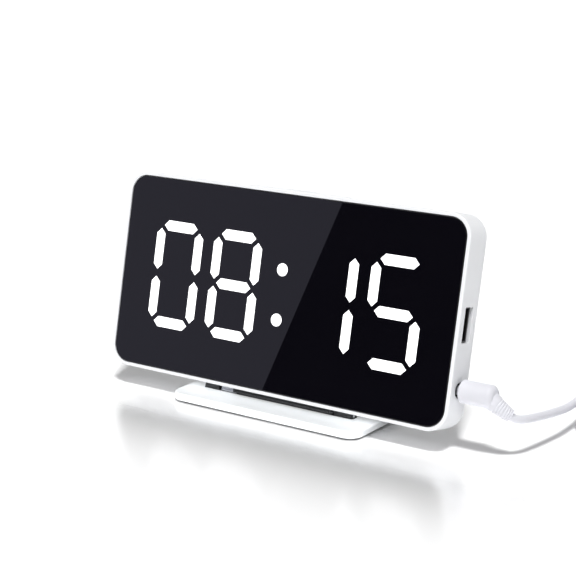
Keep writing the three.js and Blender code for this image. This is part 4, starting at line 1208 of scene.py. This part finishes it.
# %% USB plug
GRIP_WIDTH, GRIP_HEIGHT, GRIP_LENGTH = 15.6, 7.8, 23.0
TIP_WIDTH, TIP_HEIGHT, TIP_LENGTH = 12.0, 4.5, 12.0
grip_low, grip_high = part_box("usb_plug_grip")
tip_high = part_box("usb_plug_tip")[1]
middle_x = (grip_low.x + grip_high.x) / 2 / MM
middle_z = (grip_low.z + grip_high.z) / 2 / MM
FACING = Matrix.Rotation(math.pi / 2, 4, "X")
GRIP = UPRIGHT @ Matrix.Translation((middle_x, grip_high.y / MM, middle_z)) @ FACING
TIP = UPRIGHT @ Matrix.Translation((middle_x, tip_high.y / MM, middle_z)) @ FACING


def plug_ring(width, height, corner, along):
    return level(outline(width, height, corner, 0, 0, 8), along)


shoulder = [(5.0, 5.0, 2.3, 0), (5.6, 5.4, 2.5, 1.3), (6.2, 5.8, 2.6, 3.5), (9.2, 6.2, 2.4, 4.1)]
shoulder += [(13.2, 7.0, 2.1, 4.8), (15.0, 7.6, 1.9, 5.6), (GRIP_WIDTH, GRIP_HEIGHT, 1.8, 6.6)]
front = [(GRIP_WIDTH, GRIP_HEIGHT, 1.8, GRIP_LENGTH - 1.3), (15.4, 7.6, 1.8, GRIP_LENGTH - 0.5)]
front += [(14.8, 7.0, 1.6, GRIP_LENGTH)]
grip = soften(skin("grip", [plug_ring(*ring) for ring in shoulder + front]), 0)
rib_bar = outline(10, 0.9, 0.4, 0, 0, 4)
grip_rib = soften(skin("rib", [level(rib_bar, -0.3), level(rib_bar, 0.26)]), 0.1, 2)
faces = []
for side in (0, 1):
    rib_spots = spots("grip_ribs", [(0, 9.5 + 2 * i, 3.78) for i in range(5)], turn=[0.0] * 5)
    run_tree(rib_spots, aligned, Shape=grip_rib, Finish=LEAD)
    rib_spots.data.transform(Matrix.Rotation(math.pi * side, 4, "Z") @ Matrix.Rotation(math.pi / 2, 4, "X"))
    faces.append(rib_spots)
bpy.data.objects.remove(grip_rib)
place(joined("usb_plug_body", [grip, *faces]), GRIP, LEAD, "supply_lead", "white_lead", ["usb_plug_grip"])

# %% USB shell and tongue
def tip_ring(grow, along):
    return plug_ring(TIP_WIDTH + 2 * grow, TIP_HEIGHT + 2 * grow, 0.6 + grow, along)


end = TIP_LENGTH
tip_profile = ((0, 0), (0, end - 0.2), (-0.12, end), (-0.3, end - 0.1), (-0.3, 1))
tip = skin("usb_plug_shell", [tip_ring(grow, along) for grow, along in tip_profile])
windows = []
for side in (-1, 1):
    window = skin("window", [level(outline(2.2, 2.4, 0.15, 0, 0, 3), z) for z in (-1, 1)])
    window.data.transform(Matrix.Translation((side * 2.7, TIP_HEIGHT / 2, 7)) @ FACING)
    windows.append(window)
carve(tip, windows)
place(soften(tip, 0.06, 1, 50), TIP, STEEL, "supply_lead", "steel", ["usb_plug_tip"])
inside_plan = outline(11, 1.7, 0.2, 0, -1, 3)
inside = soften(skin("usb_plug_tongue", [level(inside_plan, 1.2), level(inside_plan, end - 0.5)]), 0.1, 1)
place(inside, TIP, BLACK, "supply_lead", "black_plastic")

# %% [markdown]
# ## Tie on the coil
#
# A soft strap holds the coil's turns together. It is a thin loop round the coil's section.

# %% Coil tie
COIL_MIDDLE = COIL_OUTER - (TURNS_PER_LAYER - DROP_TURNS) * COIL_PITCH / 2
COIL_ACROSS = (TURNS_PER_LAYER - DROP_TURNS) * COIL_PITCH + CORD_DIAMETER
COIL_TALL = (COIL_LAYERS - 1) * COIL_PITCH + CORD_DIAMETER
STRAP_WIDTH, STRAP_THICKNESS = 4.4, 0.3


def strap_ring(grow, shift):
    """The strap's outline round the coil's section, behind the coil's centre."""
    across, tall = COIL_ACROSS + 0.1 + 2 * grow, COIL_TALL - 0.35 + 2 * grow
    middle_y, middle_z = COIL_CENTRE[1] + COIL_MIDDLE, STRAP_THICKNESS + tall / 2 - grow + 0.05
    section = outline(across, tall, 1.6 + grow, middle_y, middle_z, 6)
    return [(COIL_CENTRE[0] + shift, y, z) for y, z in section]


half = STRAP_WIDTH / 2
outside, far_side = strap_ring(STRAP_THICKNESS, -half), strap_ring(STRAP_THICKNESS, half)
strap = skin("coil_strap", [strap_ring(0, -half), outside, far_side, strap_ring(0, half)], looped=True)
place(soften(strap, 0.08, 1), UPRIGHT, DARK, "supply_lead", "dark_grey")

# %% The pieces carried by the cord
on_the_cord = ["dc_plug", "dc_barrel", "cord_relief"]
on_the_cord += ["usb_plug_body", "usb_plug_shell", "usb_plug_tongue", "coil_strap"]

# %% [markdown]
# ## The foot
#
# The foot is a flat plate with softly rounded upper edges. A long slot in it makes room for the hinge,
# and four rubber pads under it keep the clock from sliding.

# %% Foot plate
FOOT_WIDTH, FOOT_DEPTH, FOOT_CORNER = 89.2, 50.0, 6.0
FOOT_LOW, FOOT_TOP, FOOT_EDGE = 0.8, 3.6, 0.8


def foot_ring(inset, z):
    return level(outline(FOOT_WIDTH - 2 * inset, FOOT_DEPTH - 2 * inset, FOOT_CORNER - inset, 0, 0, 12), z)


lower = arc(0.3, 270, 180, 0.3, FOOT_LOW + 0.3, 3)
upper = arc(FOOT_EDGE, 180, 90, FOOT_EDGE, FOOT_TOP - FOOT_EDGE, 8)
foot = skin("foot_plate_cover", [foot_ring(inset, z) for inset, z in lower + upper])
HINGE_Y, HINGE_Z, HINGE_SHIFT = -9.6, 4.0, -1.0
slot_plan = outline(72.2, 4.6, 1.2, HINGE_SHIFT, HINGE_Y, 6)
slot_cut = skin("slot", [level(slot_plan, -1), level(slot_plan, 6)])
pocket_plan = outline(80.6, 14.6, 1.8, HINGE_SHIFT, HINGE_Y + 3, 5)
pocket = skin("pocket", [level(pocket_plan, -1), level(pocket_plan, 1.8)])
PADS = [(x, y) for y in (-18.5, 18.5) for x in (-38.1, 38.1)]
seats = [skin("seat", [level(circle(3.9, x, y, 40), z) for z in (-1, 1.3)]) for x, y in PADS]
carve(foot, [slot_cut, pocket, *seats])
soften(foot, 0.12, 2, 50)
place(foot, UPRIGHT, FOOT_WHITE, "foot", "white_shell", ["foot_plate"])

# %% Rubber pads
ridges = [(0, 0.12), (0.6, 0.12), (0.75, 0), (1.2, 0)]
ridges += [(1.35, 0.12), (1.9, 0.12), (2.05, 0), (2.5, 0), (2.65, 0.12)]
pad_profile = ridges + [(2.95, 0.12), (3.1, 0), (3.35, 0.04), (3.55, 0.2), (3.6, 0.45), (3.6, 1.0), (0, 1.0)]
pad = soften(turned("pad", pad_profile, 48), 0)
pads = spots("foot_pads", [(x, y, 0) for x, y in PADS])
run_tree(pads, scatter, Shape=pad, Seed=3, Finish=RUBBER)
bpy.data.objects.remove(pad)
place(pads, UPRIGHT, RUBBER, "foot", "rubber_grey", [f"foot_pad_{i}" for i in (1, 2, 3, 4)])

# %% [markdown]
# ## The hinge
#
# The leaf lies under the foot and lifts its two end knuckles through the slot. The case's own long
# knuckle runs between them on a steel pin, and a bright friction sleeve beside it holds the tilt.

# %% Knuckles
KNUCKLE, PIN = 2.0, 0.9


def knuckle(start, end, bore=PIN + 0.3, edge=0.25):
    """A turned tube along x, with broken edges."""
    profile = [(bore, start), (bore, end), (KNUCKLE - edge, end)]
    profile += [(KNUCKLE, end - edge), (KNUCKLE, start + edge), (KNUCKLE - edge, start)]
    tube = turned("knuckle", profile, 40)
    tube.data.transform(Matrix.Translation((HINGE_SHIFT, HINGE_Y, HINGE_Z)) @ SIDEWAYS)
    return soften(tube, 0)


def block(name, plan, low, high, edge=0.1):
    return soften(skin(name, [level(plan, low), level(plan, high)]), edge, 1)


leaf_plan = outline(80, 14, 1.5, HINGE_SHIFT, HINGE_Y + 3, 5)
leaf = skin("leaf", [level(leaf_plan, 0.8), level(leaf_plan, 1.5)])
gap_plan = outline(55.6, 5.2, 0.5, HINGE_SHIFT - 0.5, HINGE_Y, 3)
window = skin("window", [level(gap_plan, 0), level(gap_plan, 3)])
LEAF_SCREWS = [(HINGE_SHIFT + side * 32, HINGE_Y + 7) for side in (-1, 1)]
leaf_screw_holes = [skin("hole", [level(circle(1.2, x, y, 24), z) for z in (0, 3)]) for x, y in LEAF_SCREWS]
carve(leaf, [window, *leaf_screw_holes])
soften(leaf, 0.08, 1)
END_KNUCKLES = ((-35.5, -28.3), (27.3, 35.5))
ends = [knuckle(start, end) for start, end in END_KNUCKLES]
for start, end in END_KNUCKLES:
    for y in (HINGE_Y - 1.62, HINGE_Y + 1.62):
        plan = outline(end - start, 0.7, 0.2, HINGE_SHIFT + (start + end) / 2, y, 2)
        ends.append(block("cheek", plan, 0.9, HINGE_Z, 0.05))
place(joined("hinge_base", [leaf, *ends]), UPRIGHT, DARK, "foot", "dark_grey", ["hinge_leaf"])

sleeve_profile = [(1.2, -27.2), (1.2, -20.0)]
for i in range(9):
    x = -20.0 - 0.8 * i
    sleeve_profile += [(1.86, x), (2.0, x - 0.12), (2.0, x - 0.6), (1.86, x - 0.72)]
sleeve = turned("sleeve", sleeve_profile, 40)
sleeve.data.transform(Matrix.Translation((HINGE_SHIFT, HINGE_Y, HINGE_Z)) @ SIDEWAYS)
place(soften(sleeve, 0), UPRIGHT, STEEL, "foot", "steel", ["friction_sleeve"])

pin_profile = [(0, -34.2), (0.6, -34.2), (0.9, -33.9), (0.9, 35.2), (0.6, 35.5), (0, 35.5)]
hinge_pin = turned("hinge_pin_rod", pin_profile, 28)
hinge_pin.data.transform(Matrix.Translation((HINGE_SHIFT, HINGE_Y, HINGE_Z)) @ SIDEWAYS)
place(soften(hinge_pin, 0), UPRIGHT, STEEL, "foot", "steel", ["hinge_pin"])

# %% Leaf screws under the foot
small_head = screw_head(1.85, 0.55, 0.42)
small_head.data.transform(Matrix.Translation((0, 0, 0.85)) @ Matrix.Rotation(math.pi, 4, "X"))
leaf_screws = spots("leaf_screws", [(x, y, 0) for x, y in LEAF_SCREWS])
run_tree(leaf_screws, scatter, Shape=small_head, Seed=11, Finish=STEEL)
bpy.data.objects.remove(small_head)
place(leaf_screws, UPRIGHT, STEEL, "foot", "steel", ["leaf_screw_1", "leaf_screw_2"])

# %% [markdown]
# The case's half of the hinge is the neck: its knuckle, an arm that runs forward under the case, and a
# web up through the case's floor to a flange inside.

# %% Neck
HINGE_IN = 10.3 * math.cos(LEAN) + 4.8 * math.sin(LEAN)
HINGE_DOWN = 10.3 * math.sin(LEAN) - 4.8 * math.cos(LEAN)
NECK_START, NECK_END = HINGE_SHIFT - 19.7, HINGE_SHIFT + 27.0
neck_middle, neck_width = (NECK_START + NECK_END) / 2, NECK_END - NECK_START
profile = [(1.2, -19.7), (1.2, 27.0), (1.75, 27.0), (2.0, 26.75), (2.0, -19.45), (1.75, -19.7)]
case_knuckle = turned("case_knuckle", profile, 40)
case_knuckle.data.transform(Matrix.Translation((HINGE_SHIFT, HINGE_IN, HINGE_DOWN)) @ SIDEWAYS)
arm = block("arm", outline(neck_width, 3.0, 0.2, neck_middle, 8.2, 2), HINGE_DOWN, -0.6)
web = block("web", outline(neck_width, 3.4, 0.3, neck_middle, 8.4, 2), HINGE_DOWN + 0.5, 3)
flange = block("flange", outline(neck_width + 6, 6.4, 0.5, neck_middle, 7.8, 3), 2.3, 4.3)
neck_piece = joined("hinge_arm", [soften(case_knuckle, 0), arm, web, flange])
place(neck_piece, CASE, DARK, "case", "dark_grey", ["hinge_neck"])

# %% [markdown]
# ## What stays from the CAD model
#
# The pieces inside the case are right as they are. They only get their finishes.

# %% Finishes for the CAD pieces
FINISH_OF = {
    "white_shell": WHITE,
    "white_lead": LEAD,
    "mirror_panel": MIRROR,
    "milky_film": FILM,
    "black_plastic": BLACK,
    "dark_grey": DARK,
    "steel": STEEL,
    "board_green": BOARD,
    "key_grey": KEY,
    "rubber_grey": RUBBER,
}
slot_of = {part["node"]: part["material_slot"] for part in frame["record"]["subparts"]}
for name, node in frame["nodes"].items():
    node.data.materials.clear()
    node.data.materials.append(FINISH_OF[slot_of[name]])
print("finished", len(frame["nodes"]), "CAD pieces")

# %% [markdown]
# ## Floor, light and reflections
#
# The floor is a pale sheet with a polished band in front of the clock: the clock shows in it, and the
# gloss fades out towards the camera. A grey world fills in from all sides. Four suns light the set,
# through light linking: one lights only the floor and draws the shadows, a broader one lights the
# clock, a soft one the lead, and a low one reaches in under the case to the foot. Shiny surfaces would
# find such a world dull, so a white dome stands round the set that only the camera and reflections can
# see.

# %% Floor, world and suns
GLOSS_BACK, GLOSS_FRONT, GLOSS_END, GLOSS_PEAK = -0.012, -0.040, -0.110, 0.70


def floor_finish():
    """Pale and matt, with a polished band in front of the foot that fades out towards the camera."""
    material, page = start_material("studio_floor")
    cloud = noise(page, 3, 3.0)
    colour = blend_colours(page, cloud, (0.90, 0.90, 0.902), (0.92, 0.92, 0.922))
    spot = page.node("ShaderNodeTexCoord", output="Object")
    ahead = page.split(spot)[1]
    rise = ((ahead - GLOSS_BACK) / (GLOSS_FRONT - GLOSS_BACK)).most(0.0).least(1.0)
    fall = ((ahead - GLOSS_END) / (GLOSS_FRONT - GLOSS_END)).most(0.0).least(1.0)
    gloss = rise * fall * fall * GLOSS_PEAK
    roughness = cloud * 0.04 + 0.20
    inputs = {"Base Color": colour, "Roughness": roughness, "Metallic": gloss, "IOR": 1.4}
    end_material(page, inputs)
    return material


def stage_mesh(name, points, faces, material):
    mesh = bpy.data.meshes.new(name)
    mesh.from_pydata(points, [], faces)
    mesh.materials.append(material)
    piece = bpy.data.objects.new(name, mesh)
    bpy.context.scene.collection.objects.link(piece)
    return piece


FLOOR_HALF = 9.0
floor_corners = [(x * FLOOR_HALF, y * FLOOR_HALF, 0) for x, y in ((-1, -1), (1, -1), (1, 1), (-1, 1))]
floor = stage_mesh("studio_floor", floor_corners, [(0, 1, 2, 3)], floor_finish())

world = bpy.data.worlds.new("studio")
world.use_nodes = True
world.node_tree.nodes["Background"].inputs["Color"].default_value = (1.0, 1.0, 1.0, 1)
world.node_tree.nodes["Background"].inputs["Strength"].default_value = 0.17
bpy.context.scene.world = world
bpy.context.scene.view_settings.view_transform = "Standard"


def sun(name, energy, spread, azimuth, elevation, lit=(), unlit=()):
    """A sun at so many degrees to the right of the front, which lights only some pieces, or all but some."""
    data = bpy.data.lights.new(name, "SUN")
    data.energy, data.angle = energy, math.radians(spread)
    light = bpy.data.objects.new(name, data)
    across, rise = math.radians(azimuth), math.radians(elevation)
    shining = Vector((-math.sin(across) * math.cos(rise), math.cos(across) * math.cos(rise), -math.sin(rise)))
    light.rotation_euler = shining.to_track_quat("-Z", "Y").to_euler()
    bpy.context.scene.collection.objects.link(light)
    linked = bpy.data.collections.new(name + "_linked")
    for piece in (*lit, *unlit):
        linked.objects.link(piece)
    for entry in linked.collection_objects:
        entry.light_linking.link_state = "INCLUDE" if lit else "EXCLUDE"
    light.light_linking.receiver_collection = linked


sun("floor_sun", 3.7, 10, 38, 67, lit=[floor])
lead_pieces = [cord, *(bpy.data.objects[name] for name in ("dc_plug", "cord_relief", "usb_plug_body"))]
sun("clock_sun", 2.9, 30, 19, 60, unlit=[floor, foot, *lead_pieces])
sun("lead_sun", 2.3, 30, 8, 70, lit=lead_pieces)
sun("foot_sun", 4.8, 24, 12, 30, lit=[foot])
print("floor, world and suns ready")

# %% [markdown]
# Cards and the dome glow evenly and are hidden from diffuse light and shadows, so they change nothing
# but reflections. The mirror looks black because it faces a dark card. A lighter card stands before it,
# and its slanted edge draws the diagonal across the glass. Its corners come from reflection: a line of
# sight meets the glass, turns, and goes on until it meets the plane that the card stands in.

# %% Dome and cards
def glow_finish(name, colour):
    material, page = start_material(name)
    glow = page.node("ShaderNodeEmission", inputs={"Color": (*colour, 1), "Strength": 1.0})
    page.node("ShaderNodeOutputMaterial", inputs={"Surface": glow})
    return material


def reflections_only(piece, camera_too=False):
    piece.visible_camera = camera_too
    piece.visible_diffuse = piece.visible_shadow = False
    return piece


def dome(radius, rings=12, sides=48):
    points, faces = [], []
    for i in range(rings + 1):
        climb = math.pi / 2 * i / rings * 0.999
        for k in range(sides):
            angle = 2 * math.pi * k / sides
            flat = radius * math.cos(climb)
            points.append((flat * math.cos(angle), flat * math.sin(angle), radius * math.sin(climb) - 0.01))
    for i in range(rings):
        for k in range(sides):
            here, beside = i * sides + k, i * sides + (k + 1) % sides
            faces.append((here, beside, beside + sides, here + sides))
    return stage_mesh("white_dome", points, faces, glow_finish("dome_glow", (1.08, 1.08, 1.08)))


reflections_only(dome(8.6), camera_too=True)

GLASS_NORMAL = Vector((0, -math.cos(LEAN), math.sin(LEAN)))
TOWARD_CARDS = Vector((-0.556, -0.825, 0.1)).normalized()


def reflected_spot(x, up, distance):
    """Where the line of sight to a spot on the glass ends, once reflected, on a plane across the cards."""
    glass = CASE @ Vector((x, 0, up))
    sight = (glass - EYE * MM).normalized()
    turned_back = sight - 2 * sight.dot(GLASS_NORMAL) * GLASS_NORMAL
    reach = (distance - glass.dot(TOWARD_CARDS)) / turned_back.dot(TOWARD_CARDS)
    return glass + turned_back * reach


EDGE_TOP, EDGE_LOW = (24.1, 78.7), (-1.9, 2.4)
EDGE_SLOPE = (EDGE_TOP[0] - EDGE_LOW[0]) / (EDGE_TOP[1] - EDGE_LOW[1])


def edge_x(up):
    return EDGE_LOW[0] + (up - EDGE_LOW[1]) * EDGE_SLOPE


CARD_DISTANCE, CARD_TOP, CARD_LOW, CARD_LEFT = 0.42, 100, -4, -170
card_spots = [(edge_x(CARD_LOW), CARD_LOW), (edge_x(CARD_TOP), CARD_TOP)]
card_spots += [(CARD_LEFT, CARD_TOP), (CARD_LEFT, CARD_LOW)]
light_corners = [reflected_spot(x, up, CARD_DISTANCE) for x, up in card_spots]
light_glow = glow_finish("light_card", (0.49, 0.48, 0.63))
light_card = stage_mesh("light_card", light_corners, [(0, 1, 2, 3)], light_glow)
reflections_only(light_card)

DARK_RADIUS, DARK_TOP = 1.5, 1.15
dark_turns = [math.radians(turn) for turn in range(-14, 59, 4)]
dark_arc = [(-DARK_RADIUS * math.sin(t), -DARK_RADIUS * math.cos(t)) for t in dark_turns]
dark_points = level(dark_arc, 0.001) + level(dark_arc, DARK_TOP)
n = len(dark_turns)
dark_faces = [(i, i + 1, i + 1 + n, i + n) for i in range(n - 1)]
dark_card = stage_mesh("dark_card", dark_points, dark_faces, glow_finish("dark_card", (0.045, 0.040, 0.075)))
reflections_only(dark_card)
print("cards stand", round(min(c.z for c in light_corners), 3), "m above the floor")

# %% Finish
bpy.context.view_layer.update()
